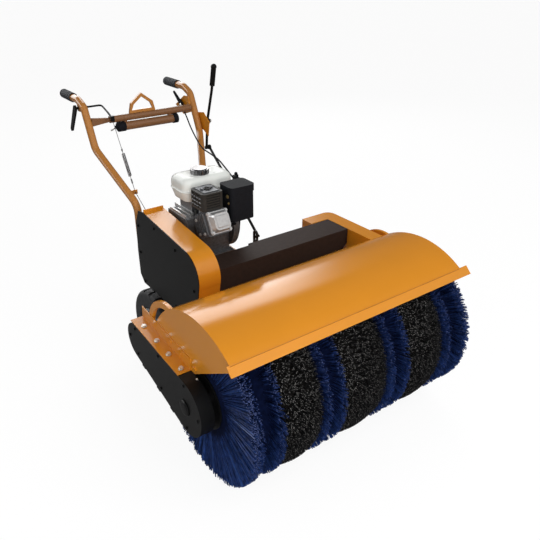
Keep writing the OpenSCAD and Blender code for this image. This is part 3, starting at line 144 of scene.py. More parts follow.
def add_camera():
    data = bpy.data.cameras.new("camera")
    data.sensor_width = CAMERA_SENSOR
    data.lens = CAMERA_LENS
    data.clip_end = CAMERA_FAR
    camera = add_object("camera", data)
    level = math.cos(CAMERA_ELEVATION)
    forward = Vector((-math.sin(CAMERA_AZIMUTH) * level, math.cos(CAMERA_AZIMUTH) * level, -math.sin(CAMERA_ELEVATION)))
    aim(camera, to_frame(CAMERA_PLACE), forward)
    bpy.context.scene.camera = camera


def add_lamp(name, place, target, size, power):
    data = bpy.data.lights.new(name, "AREA")
    data.size = size
    data.energy = power
    lamp = add_object(name, data)
    lamp.visible_glossy = False
    aim(lamp, place, Vector(target) - Vector(place))


def feed(tree, value, socket):
    """Sets a node's input to a number, or links it to another node's output."""
    if isinstance(value, bpy.types.NodeSocket):
        tree.links.new(value, socket)
    else:
        socket.default_value = value


def add_range(tree, value, start=0, end=1, low=0, high=1):
    """A value carried over from start and end to low and high, and held between them."""
    made = tree.nodes.new("ShaderNodeMapRange")
    feed(tree, value, made.inputs["Value"])
    feed(tree, start, made.inputs["From Min"])
    feed(tree, end, made.inputs["From Max"])
    feed(tree, low, made.inputs["To Min"])
    feed(tree, high, made.inputs["To Max"])
    return made.outputs["Result"]


def add_math(tree, operation, first, second):
    made = tree.nodes.new("ShaderNodeMath")
    made.operation = operation
    feed(tree, first, made.inputs[0])
    feed(tree, second, made.inputs[1])
    return made.outputs["Value"]


def add_floor():
    """A pale floor that the camera sees as nearly white, with a soft shadow."""
    mesh = bpy.data.meshes.new("floor")
    h = FLOOR_HALF
    mesh.from_pydata([(-h, -h, 0), (h, -h, 0), (h, h, 0), (-h, h, 0)], [], [(0, 1, 2, 3)])
    floor = add_object("floor", mesh)
    made = bpy.data.materials.new("floor_white")
    made.use_nodes = True
    tree = made.node_tree
    shader = tree.nodes["Principled BSDF"]
    shader.inputs["Base Color"].default_value = FLOOR_COLOUR
    shader.inputs["Roughness"].default_value = FLOOR_ROUGHNESS
    shader.inputs["Specular IOR Level"].default_value = FLOOR_SPECULAR
    glow = tree.nodes.new("ShaderNodeEmission")
    glow.inputs["Strength"].default_value = FLOOR_GLOW
    path = tree.nodes.new("ShaderNodeLightPath")
    both = tree.nodes.new("ShaderNodeMixShader")
    feed(tree, add_range(tree, path.outputs["Is Camera Ray"], high=FLOOR_GLOW_SHARE), both.inputs["Fac"])
    feed(tree, shader.outputs["BSDF"], both.inputs[1])
    feed(tree, glow.outputs["Emission"], both.inputs[2])
    feed(tree, both.outputs["Shader"], tree.nodes["Material Output"].inputs["Surface"])
    mesh.materials.append(made)


def sky_strength(tree, way):
    """A dull sky that brightens towards one side."""
    near = tree.nodes.new("ShaderNodeVectorMath")
    near.operation = "DOT_PRODUCT"
    feed(tree, way, near.inputs[0])
    feed(tree, Vector(SKY_BRIGHT_WAY).normalized(), near.inputs[1])
    return add_range(tree, near.outputs["Value"], start=SKY_BRIGHT_FROM, low=SKY_DULL, high=SKY_BRIGHT)


def sheen_strength(tree, way):
    """What shiny faces mirror: a dull surround, a bright band of sky low behind the machine, a soft glow before it."""
    parts = tree.nodes.new("ShaderNodeSeparateXYZ")
    feed(tree, way, parts.inputs["Vector"])
    band = 1
    for axis, start, end in SHEEN_FADES:
        band = add_math(tree, "MULTIPLY", band, add_range(tree, parts.outputs[axis], start, end))
    behind = add_range(tree, band, low=SHEEN_DULL, high=SHEEN_BRIGHT)
    before = add_range(tree, parts.outputs["Y"], *SHEEN_FRONT_FADE, high=SHEEN_FRONT)
    return add_math(tree, "ADD", behind, before)


def add_sky():
    """The light of an open sky, with a bright band behind the machine for shiny faces to mirror."""
    world = bpy.data.worlds.new("world")
    world.use_nodes = True
    tree = world.node_tree
    background = tree.nodes["Background"]
    background.inputs["Color"].default_value = SKY_COLOUR
    way = tree.nodes.new("ShaderNodeTexCoord").outputs["Generated"]
    path = tree.nodes.new("ShaderNodeLightPath")
    lit = add_range(tree, path.outputs["Is Glossy Ray"], low=sky_strength(tree, way), high=sheen_strength(tree, way))
    feed(tree, add_range(tree, path.outputs["Is Camera Ray"], low=lit), background.inputs["Strength"])
    bpy.context.scene.world = world


def add_stage():
    add_floor()
    add_sky()
    for name, (place, target, size, power) in LAMPS.items():
        add_lamp(name, place, target, size, power)
    bpy.context.scene.view_settings.view_transform = "Standard"


# Materials

COAT_ROUGHNESS = 0.12
GRAIN_DETAIL = 4
GRAIN_ENDS = (0.3, 0.7)
BUMP_DEPTH = 1


def material(name, colour, roughness, metallic=0.0, coat=0.0, grain=0.0, grain_scale=40.0, bump=0.0, specular=0.5):
    """A surface whose colour and height vary a little with a noise."""
    made = bpy.data.materials.new(name)
    made.use_nodes = True
    tree = made.node_tree
    shader = tree.nodes["Principled BSDF"]
    shader.inputs["Roughness"].default_value = roughness
    shader.inputs["Metallic"].default_value = metallic
    shader.inputs["Specular IOR Level"].default_value = specular
    shader.inputs["Coat Weight"].default_value = coat
    shader.inputs["Coat Roughness"].default_value = COAT_ROUGHNESS
    place = tree.nodes.new("ShaderNodeTexCoord")
    noise = tree.nodes.new("ShaderNodeTexNoise")
    noise.inputs["Scale"].default_value = grain_scale
    noise.inputs["Detail"].default_value = GRAIN_DETAIL
    tree.links.new(place.outputs["Object"], noise.inputs["Vector"])
    ramp = tree.nodes.new("ShaderNodeValToRGB")
    dark, pale = ramp.color_ramp.elements
    dark.position, pale.position = GRAIN_ENDS
    dark.color = tuple(c * (1 - grain) for c in colour) + (1,)
    pale.color = tuple(min(1, c * (1 + grain)) for c in colour) + (1,)
    tree.links.new(noise.outputs["Fac"], ramp.inputs["Fac"])
    tree.links.new(ramp.outputs["Color"], shader.inputs["Base Color"])
    if bump:
        height = tree.nodes.new("ShaderNodeBump")
        height.inputs["Strength"].default_value = bump
        height.inputs["Distance"].default_value = BUMP_DEPTH * MM
        tree.links.new(noise.outputs["Fac"], height.inputs["Height"])
        tree.links.new(height.outputs["Normal"], shader.inputs["Normal"])
    return made


AMBER = material("amber_enamel", (0.70, 0.262, 0.016), 0.17, coat=0.1, grain=0.02, grain_scale=6, specular=0.5)
# Painted shade: a darker amber for a thin rod along the lip's fold, where the fold's shade falls
CREASE_SHADE = material("amber_painted_crease_shade", (0.48, 0.175, 0.011), 0.4, grain=0.02, grain_scale=6, specular=0.2)
TUBE = material("tube_enamel", (0.50, 0.205, 0.045), 0.20, coat=0.2, grain=0.03, grain_scale=8, specular=0.4)
BAR = material("bar_enamel", (0.235, 0.108, 0.046), 0.24, coat=0.2, grain=0.03, grain_scale=8, specular=0.4)
BLACK = material("satin_black", (0.0050, 0.0050, 0.0051), 0.40, grain=0.1, grain_scale=60, bump=0.05, specular=0.18)
GUARD = material("guard_black", (0.034, 0.022, 0.018), 0.50, grain=0.1, grain_scale=60, specular=0.06)
STEEL = material("machined_steel", (0.42, 0.42, 0.43), 0.34, metallic=1, grain=0.08, grain_scale=90)
ZINC = material("zinc_plate", (0.72, 0.71, 0.67), 0.32, metallic=1, grain=0.08, grain_scale=120)
OXIDE = material("black_oxide_steel", (0.016, 0.016, 0.017), 0.45, metallic=0.3, grain=0.1, grain_scale=90)
CHROME = material("dull_chrome", (0.22, 0.22, 0.225), 0.24, metallic=1, grain=0.05)
# The cast alloy, darkened past its own colour as painted shade over the crankcase's lower front
ALLOY_AND_SHADE = material("cast_alloy_and_painted_shade", (0.15, 0.155, 0.165), 0.46, metallic=0.5, grain=0.25, grain_scale=120, bump=0.15)
# The head cover's own pale alloy, also lightened on ribs and bolts as painted highlight
PALE_ALLOY_AND_HIGHLIGHT = material("bright_alloy_and_painted_highlight", (0.60, 0.60, 0.60), 0.36, metallic=0.6, grain=0.08, grain_scale=120, bump=0.1)
CREAM = material("cream_enamel", (0.88, 0.90, 0.86), 0.26, coat=0.1, grain=0.02, grain_scale=8, specular=0.25)
PLASTIC = material("black_plastic", (0.012, 0.0128, 0.0155), 0.55, grain=0.1, grain_scale=80, bump=0.1, specular=0.05)
RUBBER = material("grip_rubber", (0.030, 0.032, 0.037), 0.7, grain=0.15, grain_scale=120, bump=0.2, specular=0.3)
TYRE = material("tyre_rubber", (0.034, 0.034, 0.036), 0.70, grain=0.25, grain_scale=60, bump=0.3, specular=0.3)
RIM = material("rim_grey", (0.28, 0.30, 0.31), 0.5, metallic=0.5, grain=0.1, grain_scale=40)
HEAT = material("heat_black", (0.026, 0.025, 0.023), 0.55, grain=0.15, grain_scale=90, bump=0.2, specular=0.3)
BLUE = material("blue_fibre", (0.015, 0.034, 0.128), 0.42, grain=0.6, grain_scale=55, specular=0.16)
# Painted highlight: a paler blue on the strands' cut ends stands for glints
BLUE_PAINTED_GLINT = material("blue_painted_glint", (0.075, 0.100, 0.235), 0.5, grain=0.5, grain_scale=80, specular=0.3)
# Painted highlight: a paler blue for the streaks of light on the brush's end
BLUE_PAINTED_HIGHLIGHT = material("blue_fibre_painted_highlight", (0.021, 0.060, 0.225), 0.36, grain=0.4, grain_scale=55, specular=0.3)
# Painted shade: a near-black blue for the body under the blue strands, where only shadow shows
BLUE_PAINTED_SHADE = material("blue_painted_shade", (0.003, 0.006, 0.026), 0.9, grain=0.4, grain_scale=70, specular=0.1)
WIRE = material("bristle_wire", (0.014, 0.014, 0.0148), 0.45, metallic=0.4, grain=0.5, grain_scale=60)
# Painted highlight: a pale grey on the wires' cut ends stands for glints
WIRE_PAINTED_GLINT = material("wire_painted_glint", (0.34, 0.33, 0.315), 0.45, metallic=0.3, grain=0.5, grain_scale=110)
# Painted shade: a near-black grey for the body under the wire strands, where only shadow shows
WIRE_PAINTED_SHADE = material("wire_painted_shade", (0.006, 0.0055, 0.005), 0.9, grain=0.4, grain_scale=70, specular=0.1)
BRASS = material("brass", (0.42, 0.33, 0.15), 0.4, metallic=0.8, grain=0.05)

NODE_LOOKS = {
    AMBER: "hood_shell hood_sides case_flange belt_cover_strap belt_cover_back right_rail cross_member engine_deck "
           "axle_beam handle_plate throttle_plate lever_bracket",
    TUBE: "left_handle_tube right_handle_tube lifting_eye",
    BAR: "handle_crossbar document_tube",
    BLACK: "chain_case_back chain_case_cover right_arm belt_cover_panel brush_core clutch_lever drive_lever "
           "control_rod",
    GUARD: "shaft_guard",
    STEEL: "shaft_bearings brush_sprocket drive_chains jackshaft countershaft engine_pulley idler_arm",
    OXIDE: "shift_arm",
    # The engine block's alloy is darkened, painted shade over its lower front
    ALLOY_AND_SHADE: "engine_block",
    PALE_ALLOY_AND_HIGHLIGHT: "head_cover",
    CREAM: "fuel_tank",
    CHROME: "fuel_cap",
    PLASTIC: "air_cleaner recoil_cover recoil_handle choke_lever fuel_valve stop_switch document_cap idler_pulley "
             "throttle_lever",
    RUBBER: "left_grip right_grip drive_belt",
    TYRE: "left_tyre right_tyre",
    RIM: "left_rim right_rim",
    HEAT: "muffler",
}
SOFT_EDGE = 2
SOFT_EDGE_ANGLE = math.radians(18)
SOFT_EDGE_SEGMENTS = 3


def dress_nodes():
    for look, names in NODE_LOOKS.items():
        for name in names.split():
            nodes[name].data.materials.clear()
            nodes[name].data.materials.append(look)


def soften(name, node, body):
    """A piece that stands for a CAD node, with its sharp edges rounded."""
    made = add_object(name, nodes[node].data.copy())
    for face in made.data.polygons:
        face.use_smooth = True
    edge = made.modifiers.new("soft_edges", "BEVEL")
    edge.limit_method = "ANGLE"
    edge.angle_limit = SOFT_EDGE_ANGLE
    edge.width = SOFT_EDGE * MM
    edge.segments = SOFT_EDGE_SEGMENTS
    edge.harden_normals = True
    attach(made, body)
    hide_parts(node)


# Shapes

OUT_LEFT = (-1, 0, 0)
OUT_RIGHT = (1, 0, 0)
OUT_BACK = (0, 1, 0)
OUT_UP = (0, 0, 1)
HEX_SIDES = 6
SMALL_SIDES = 8
WIRE_SIDES = 10
WASHER_SIDES = 16
ROD_SIDES = 20
ROUND_SIDES = 40
WASHER_HEIGHT_SHARE = 0.3
WASHER_R_SHARE = 0.72
HEAD_R_SHARE = 0.56


def circle(centre, side, up, radius, sides):
    """Points round a centre, in the plane of two directions."""
    turns = [FULL_TURN * k / sides for k in range(sides)]
    return [centre + (side * math.cos(t) + up * math.sin(t)) * radius for t in turns]


class Shape:
    """Gathers plain solids, in machine millimetres, into one piece."""

    def __init__(self):
        self.points = []
        self.faces = []
        self.smooth = []
        self.looks = []

    def add(self, points, faces, smooth, look=0):
        start = len(self.points)
        self.points.extend(tuple(p) for p in points)
        self.faces.extend(tuple(start + i for i in f) for f in faces)
        self.smooth.extend([smooth] * len(faces))
        self.looks.extend([look] * len(faces))
        return self

    def box(self, low, high):
        a, b = Vector(low), Vector(high)
        points = [(x, y, z) for x in (a.x, b.x) for y in (a.y, b.y) for z in (a.z, b.z)]
        faces = [(0, 1, 3, 2), (4, 6, 7, 5), (0, 4, 5, 1), (2, 3, 7, 6), (0, 2, 6, 4), (1, 5, 7, 3)]
        return self.add(points, faces, False)

    def rings(self, rings, smooth=True, look=0):
        """Joins rings of equally many points by quads, and closes both ends."""
        n = len(rings[0])
        points = [p for ring in rings for p in ring]
        faces = [(i * n + k, i * n + (k + 1) % n, (i + 1) * n + (k + 1) % n, (i + 1) * n + k)
                 for i in range(len(rings) - 1) for k in range(n)]
        self.add(points, faces, smooth, look)
        self.add(rings[0], [tuple(reversed(range(n)))], False, look)
        return self.add(rings[-1], [tuple(range(n))], False, look)

    def tube(self, path, radius, sides, smooth=True):
        """A round tube along points."""
        path = [Vector(p) for p in path]
        last = len(path) - 1
        headings = []
        for i in range(last + 1):
            before = path[i] - path[i - 1] if i else path[1] - path[0]
            after = path[i + 1] - path[i] if i < last else before
            headings.append((before.normalized() + after.normalized()).normalized())
        side = headings[0].orthogonal().normalized()
        rings = []
        for p, heading in zip(path, headings):
            side = (side - heading * side.dot(heading)).normalized()
            rings.append(circle(p, side, heading.cross(side), radius, sides))
        return self.rings(rings, smooth)

    def rod(self, a, b, radius, sides=ROD_SIDES, smooth=True):
        return self.tube([a, b], radius, sides, smooth)

    def lathe(self, centre, axis, profile, sides=ROUND_SIDES, look=0):
        """Turns (radius, distance along the axis) points about the axis."""
        axis = Vector(axis).normalized()
        side = axis.orthogonal().normalized()
        up = axis.cross(side)
        rings = [circle(Vector(centre) + axis * along, side, up, r, sides) for r, along in profile]
        return self.rings(rings, look=look)

    def bolt(self, centre, axis, across, head):
        """A flanged hexagon head standing on a face."""
        c, a = Vector(centre), Vector(axis).normalized()
        self.rod(c, c + a * head * WASHER_HEIGHT_SHARE, across * WASHER_R_SHARE, WASHER_SIDES)
        return self.rod(c, c + a * head, across * HEAD_R_SHARE, HEX_SIDES, smooth=False)

    def piece(self, name, look, body, slot, replaces=()):
        """Makes the object. look is one material, or a tuple of them for the numbered looks."""
        mesh = bpy.data.meshes.new(name)
        mesh.from_pydata([to_frame(p) for p in self.points], [], self.faces)
        mesh.polygons.foreach_set("use_smooth", self.smooth)
        mesh.polygons.foreach_set("material_index", self.looks)
        outward = bmesh.new()
        outward.from_mesh(mesh)
        bmesh.ops.recalc_face_normals(outward, faces=outward.faces)
        outward.to_mesh(mesh)
        outward.free()
        for one in look if isinstance(look, tuple) else (look,):
            mesh.materials.append(one)
        made = add_object(name, mesh)
        if body:
            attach(made, body)
        if replaces:
            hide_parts(*replaces)
        return made


# Brush

BRUSH_MIDDLE = to_machine(pivot("brush_spin"))
BRUSH_HALF = 457
BAND_SHARES = (0.12, 0.16, 0.096, 0.2, 0.106, 0.188, 0.13)
BAND_GAP = 1
END_DISC_R = 100
BLUE_FIBRE = {"width": 3.0, "area": 27, "ragged": 14, "crown": 4}
WIRE_FIBRE = {"width": 2.3, "area": 20, "ragged": 9, "crown": 16}
RIDGE_SHARE = 0.28
RIDGE_CLUMPS = 110
RIDGE_CLUMP_SHARE = 0.2
RIDGE_TIP_GAP = 0.5
RIDGE_SWAY_X = 2.5
RIDGE_SWAY_ANGLE = 0.008
ROOT_R = 190
ROOT_SPREAD = 0.55
# One strand in GLINT_EVERY gets a painted glint on its cut end
GLINT_EVERY = 2
END_STRANDS = 2600
END_CLUMPS = 70
END_CLUMP_SHARE = 0.25
END_WIDTH_SHARE = 1.2
END_ROOT_R_SHARE = 0.9
END_ROOT_DEPTHS = (3, 11)
END_TIP_OUT = (9, -15)
END_TIP_GAP = 1
END_SWAY_ANGLE = 0.02
END_RAGGED = 20
UNDER_SIDES = 72
UNDER_STEP = 2
BLUE_UNDER_R = 258
BLUE_UNDER_DROP = 8
BLUE_CREST = (0.08, 0.18)
VALLEY_R = 180
VALLEY_SHARE = 0.34
WIRE_UNDER_R = 270
WIRE_UNDER_DROP = 14
WIRE_CREST = 0.2
PAINTED_GLINT_LOOK = 1
# The look of the dark under-layer, which paints the shade among the strands
PAINTED_SHADE_LOOK = 2
# The paler tufts on the brush's ends are painted highlights
HIGHLIGHT_LOOK = 3
HIGHLIGHT_WAVES = (41, 67)
HIGHLIGHT_LEVEL = 0.85


def brush_point(x, angle, radius):
    return Vector((x, BRUSH_MIDDLE.y + radius * math.cos(angle), BRUSH_MIDDLE.z + radius * math.sin(angle)))


def gather(angle, clumps, share):
    """An angle drawn part of the way to the nearest clump's."""
    clump = round(angle / FULL_TURN * clumps) / clumps * FULL_TURN
    return angle * (1 - share) + clump * share


def highlight_look(angle):
    """Paler tufts, painted highlights on the brush's end, stand among the others where two waves round the brush rise
    together.
    """
    first, second = HIGHLIGHT_WAVES
    return HIGHLIGHT_LOOK if math.sin(first * angle) + math.sin(second * angle) > HIGHLIGHT_LEVEL else 0


def add_strand(shape, root, tip, width, look=0, glint_look=PAINTED_GLINT_LOOK):
    """A slim spike from a point at its root to a three-sided cut end, whose face can take a paler look, a painted
    glint.
    """
    along = (tip - root).normalized()
    side = along.orthogonal().normalized()
    up = along.cross(side)
    turn = random.random() * 2
    ends = []
    for k in range(3):
        t = turn + k * FULL_TURN / 3
        ends.append(tip + (side * math.cos(t) + up * math.sin(t)) * width / 2)
    start = len(shape.points)
    shape.points.extend(tuple(p) for p in (root, *ends))
    shape.faces.extend(((start, start + 2, start + 1), (start, start + 3, start + 2), (start, start + 1, start + 3),
                        (start + 1, start + 2, start + 3)))
    shape.smooth.extend((False, False, False, False))
    shape.looks.extend((look, look, look, glint_look))


def ridge(shape, x0, x1, width, area, ragged, crown):
    """A ring of strands, one for each area, whose tips spread from x0 to x1 and whose roots draw together midway."""
    root_x = (x0 + x1) / 2
    for i in range(int(FULL_TURN * BRUSH_R * (x1 - x0) / area)):
        share = random.random()
        angle = gather(random.random() * FULL_TURN, RIDGE_CLUMPS, RIDGE_CLUMP_SHARE)
        tip_x = min(BRUSH_HALF, max(-BRUSH_HALF, x0 + (x1 - x0) * share + random.gauss(0, RIDGE_SWAY_X)))
        drop = random.random() ** 3 * ragged + crown * (2 * share - 1) ** 2
        tip = brush_point(tip_x, angle + random.gauss(0, RIDGE_SWAY_ANGLE), BRUSH_R - RIDGE_TIP_GAP - drop)
        root = brush_point(tip_x * ROOT_SPREAD + root_x * (1 - ROOT_SPREAD), angle, ROOT_R)
        # Only some strands get the paler cut end, a painted glint
        add_strand(shape, root, tip, width, glint_look=0 if i % GLINT_EVERY else PAINTED_GLINT_LOOK)


def between(ends, share):
    return ends[0] + (ends[1] - ends[0]) * share


def end_face(shape, x, outward):
    """Strands that show along their whole length on the brush's end."""
    for i in range(END_STRANDS):
        angle = FULL_TURN * (i + random.random()) / END_STRANDS
        lean = random.random()
        root = brush_point(x - outward * between(END_ROOT_DEPTHS, lean), angle, END_DISC_R * END_ROOT_R_SHARE)
        tip_angle = gather(angle, END_CLUMPS, END_CLUMP_SHARE) + random.gauss(0, END_SWAY_ANGLE)
        tip_r = BRUSH_R - END_TIP_GAP - random.random() ** 2 * END_RAGGED
        tip = brush_point(x + outward * between(END_TIP_OUT, lean), tip_angle, tip_r)
        add_strand(shape, root, tip, BLUE_FIBRE["width"] * END_WIDTH_SHARE, highlight_look(angle))


def painted_shade_layer(shape, x0, x1, half):
    """A dark body below the strands, painted shade for the shadow deep among them; half lists radii with their
    distances from the band's edges.
    """
    profile = [(r, x0 + inset) for r, inset in half] + [(r, x1 - inset) for r, inset in reversed(half)]
    shape.lathe((0, BRUSH_MIDDLE.y, BRUSH_MIDDLE.z), OUT_RIGHT, profile, UNDER_SIDES, look=PAINTED_SHADE_LOOK)


def blue_band(shape, x0, x1):
    """Two ridges of blue fibres with a valley between them."""
    w = x1 - x0
    ridge(shape, x0 + BAND_GAP, x0 + RIDGE_SHARE * w, **BLUE_FIBRE)
    ridge(shape, x1 - RIDGE_SHARE * w, x1 - BAND_GAP, **BLUE_FIBRE)
    crest = [(BLUE_UNDER_R, w * share) for share in BLUE_CREST]
    painted_shade_layer(shape, x0, x1, [(END_DISC_R, BAND_GAP), (BLUE_UNDER_R - BLUE_UNDER_DROP, UNDER_STEP), *crest,
                                (VALLEY_R, w * VALLEY_SHARE)])


def wire_band(shape, x0, x1):
    """One ridge of steel wires from edge to edge."""
    ridge(shape, x0, x1, **WIRE_FIBRE)
    painted_shade_layer(shape, x0, x1, [(END_DISC_R, BAND_GAP), (WIRE_UNDER_R - WIRE_UNDER_DROP, UNDER_STEP),
                                (WIRE_UNDER_R, (x1 - x0) * WIRE_CREST)])


def add_brush():
    """Blue bands and wire bands by turns, and blue fibres over both ends."""
    blue = Shape()
    wire = Shape()
    x0 = -BRUSH_HALF
    for i, share in enumerate(BAND_SHARES):
        x1 = x0 + share * 2 * BRUSH_HALF
        if i % 2:
            wire_band(wire, x0, x1)
        else:
            blue_band(blue, x0, x1)
        x0 = x1
    end_face(blue, -BRUSH_HALF, -1)
    end_face(blue, BRUSH_HALF, 1)
    blue.piece("blue_fibres", (BLUE, BLUE_PAINTED_GLINT, BLUE_PAINTED_SHADE, BLUE_PAINTED_HIGHLIGHT), "brush", "blue_fibre", ["blue_bristles"])
    wire.piece("wire_fibres", (WIRE, WIRE_PAINTED_GLINT, WIRE_PAINTED_SHADE), "brush", "wire_steel", ["wire_bristles"])


# Fasteners, where a bolt is its width across the head and the head's height

HOOD_X = 480
CASE_OUT_X = -527
COVER_OUT_X = -310
RIVET_YZ = ((172, 429), (101, 420), (22, 411))
RIVET_R = 8
RIVET_HEIGHT = 5
CREASE_YZ = (-180.6, 542.2)
CREASE_R = 1.3
FLANGE_X = -505
FLANGE_FRONT_YZ = (7, 391)
FLANGE_SLOPE = math.tan(math.radians(4.78))
FLANGE_BOLT_Y = (66, 146, 226, 318)
FLANGE_BOLT = (13, 7)
SIDE_BOLT_X = -484.5
SIDE_BOLT_YZ = ((35, 377), (2, 384), (78, 372))
SIDE_BOLT = (9, 5)
BEARING_X = -462
BEARING_BOLT_R = 27
BEARING_BOLT_ANGLES = (45, 135, 225, 315)
BEARING_BOLT = (7, 4)
COVER_SCREW_YZ = ((440, 596), (600, 622), (318, 486), (330, 345), (470, 350), (730, 345), (745, 470), (742, 585))
COVER_SCREW = (9, 4)
CASE_SCREW_YZ = ((15, 372), (-62, 290), (15, 210), (180, 258), (345, 300), (396, 352), (348, 400), (180, 386))
CASE_SCREW = (8, 4)
CASE_HUB_PROFILE = ((0.1, 7), (20, 7), (26, 5), (28, 0), (0.1, 0))


def add_fasteners():
    painted = Shape()
    for y, z in RIVET_YZ:
        for side in (-1, 1):
            painted.rod((side * HOOD_X, y, z), (side * (HOOD_X + RIVET_HEIGHT), y, z), RIVET_R)
    painted.piece("hood_rivets", AMBER, "chassis", "amber_paint")
    # A thin darker rod along the lip's fold paints the shade of the crease
    crease = Shape().rod((-HOOD_X, *CREASE_YZ), (HOOD_X, *CREASE_YZ), CREASE_R, SMALL_SIDES)
    crease.piece("lip_crease_shade", CREASE_SHADE, "chassis", "amber_paint")
    zinc = Shape()
    front_y, front_z = FLANGE_FRONT_YZ
    for y in FLANGE_BOLT_Y:
        zinc.bolt((FLANGE_X, y, front_z + (y - front_y) * FLANGE_SLOPE), (0, -FLANGE_SLOPE, 1), *FLANGE_BOLT)
    for y, z in SIDE_BOLT_YZ:
        zinc.bolt((SIDE_BOLT_X, y, z), OUT_LEFT, *SIDE_BOLT)
    for angle in BEARING_BOLT_ANGLES:
        t = math.radians(angle)
        y = BRUSH_BEHIND_HOOD + BEARING_BOLT_R * math.cos(t)
        z = BRUSH_R + BEARING_BOLT_R * math.sin(t)
        zinc.bolt((BEARING_X, y, z), OUT_RIGHT, *BEARING_BOLT)
    zinc.piece("flange_bolts", ZINC, "chassis", "steel")
    dark = Shape()
    for y, z in COVER_SCREW_YZ:
        dark.bolt((COVER_OUT_X, y, z), OUT_LEFT, *COVER_SCREW)
    for y, z in CASE_SCREW_YZ:
        dark.bolt((CASE_OUT_X, y, z), OUT_LEFT, *CASE_SCREW)
    dark.lathe((CASE_OUT_X, BRUSH_BEHIND_HOOD, BRUSH_R), OUT_LEFT, CASE_HUB_PROFILE)
    dark.piece("cover_screws", BLACK, "chassis", "black_paint")


# Wheels

AXLE_NUT_X = 341
AXLE_NUT = (16, 9)


def add_wheel_details():
    nuts = Shape()
    c = to_machine(pivot("left_wheel_spin"))
    for side in (-1, 1):
        nuts.bolt((side * AXLE_NUT_X, c.y, c.z), (side, 0, 0), *AXLE_NUT)
    nuts.piece("axle_nuts", ZINC, "chassis", "steel")


# Handle

PLUG_PROFILE = ((0.1, -4), (17, -4), (20.4, -1), (20.4, 30), (18.2, 31))
PLUG_KNOB = (4, 16)
PLUG_KNOB_R = 7
# How far the pin's bends stand out from the tube's end, their Y, and how far they hang below its axis
PIN_BENDS = ((40, 1068, 6), (30, 1066, 2))
PIN_R = 3
THROTTLE_HUB_OFF = 4
THROTTLE_HUB_PROFILE = ((0.1, 5), (7, 5), (9, 3), (9, 0), (0.1, 0))
THROTTLE_BOLT_OFF = 9
THROTTLE_BOLT = (8, 4)
LEVER_NUT_OFF = 9.5
LEVER_NUT = (14, 7)
HANDLE_BOLT_X = (-290, 12)
HANDLE_BOLT_Y = 791
HANDLE_BOLT_Z = (512, 545, 580)
HANDLE_BOLT = (11, 6)


def add_handle_details():
    plug = Shape()
    low, high = node_box("document_tube")
    c = (low + high) / 2
    knob_in, knob_out = PLUG_KNOB
    plug.lathe((low.x, c.y, c.z), OUT_RIGHT, PLUG_PROFILE)
    plug.rod((low.x - knob_in, c.y, c.z), (low.x - knob_out, c.y, c.z), PLUG_KNOB_R)
    plug.piece("document_plug", PLASTIC, "chassis", "black_plastic")
    bends = [(low.x - out, y, c.z - below) for out, y, below in PIN_BENDS]
    pin = Shape().tube([*bends, (low.x - knob_out, c.y, c.z)], PIN_R, SMALL_SIDES)
    pin.piece("document_pin", ZINC, "chassis", "steel")
    hub = Shape()
    t = to_machine(pivot("throttle_swing"))
    hub.lathe((t.x - THROTTLE_HUB_OFF, t.y, t.z), OUT_LEFT, THROTTLE_HUB_PROFILE)
    hub.bolt((t.x - THROTTLE_BOLT_OFF, t.y, t.z), OUT_LEFT, *THROTTLE_BOLT)
    hub.piece("throttle_hub", ZINC, "throttle_lever_body", "steel")
    d = to_machine(pivot("drive_lever_swing"))
    nut = Shape().bolt((d.x + LEVER_NUT_OFF, d.y, d.z), OUT_RIGHT, *LEVER_NUT)
    nut.piece("lever_nut", ZINC, "chassis", "steel")
    bolts = Shape()
    for x in HANDLE_BOLT_X:
        for z in HANDLE_BOLT_Z:
            bolts.bolt((x, HANDLE_BOLT_Y, z), OUT_BACK, *HANDLE_BOLT)
    bolts.piece("handle_bolts", ZINC, "chassis", "steel")


# Cable, clutch wire and spring

CABLE_POINTS = ((134.7, 1138, 893), (132, 1112, 872), (122, 1060, 836), (104, 978, 802), (84, 900, 788), (66, 805, 790),
                (56, 725, 786), (52, 655, 762), (42, 600.1, 750), (42, 584.1, 750))
CABLE_R = 3
WIRE_TOP = Vector((-243, 1040, 919))
WIRE_GUIDE = Vector((-262, 848, 682))
WIRE_IDLER_X = -259
WIRE_IDLER_GAP = 13
WIRE_R = 1.3
WIRE_SPRING_GAP = 0.2
FERRULE_SPAN = (6, 24)
FERRULE_R = 3
EYE_BACK = 8
EYE_R = 6
EYE_STEPS = 16
SPRING_SHARES = (0.43, 0.80)
SPRING_TURNS = 30
SPRING_R = 6
SPRING_WIRE_R = 1.1
COIL_STEPS = 12
COIL_END_STEPS = 6


def smooth_path(points, steps=6):
    """A curve through the points, by Catmull and Rom's formula."""
    p = [Vector(q) for q in points]
    p = [p[0] * 2 - p[1]] + p + [p[-1] * 2 - p[-2]]
    made = []
    for i in range(1, len(p) - 2):
        for k in range(steps):
            t = k / steps
            made.append(0.5 * (2 * p[i] + (p[i + 1] - p[i - 1]) * t
                               + (2 * p[i - 1] - 5 * p[i] + 4 * p[i + 1] - p[i + 2]) * t * t
                               + (3 * p[i] - p[i - 1] - 3 * p[i + 1] + p[i + 2]) * t ** 3))
    return made + [p[-2]]


def add_throttle_cable():
    route = smooth_path(CABLE_POINTS)
    cable = Shape().tube(route, CABLE_R, WIRE_SIDES)
    cable = cable.piece("throttle_line", PLASTIC, "chassis", "black_plastic", ["throttle_cable"])


def coil_path(a, b, ahead, side):
    """The spring's wire from a to b, narrowing to the axis at both ends."""
    up = ahead.cross(side)
    steps = SPRING_TURNS * COIL_STEPS
    path = [a]
    for i in range(steps + 1):
        r = SPRING_R * min(1, i / COIL_END_STEPS, (steps - i) / COIL_END_STEPS)
        t = FULL_TURN * i / COIL_STEPS
        path.append(a + ahead * (SPRING_R + ((b - a).length - 2 * SPRING_R) * i / steps)
                    + (side * math.cos(t) + up * math.sin(t)) * r)
    return path + [b]


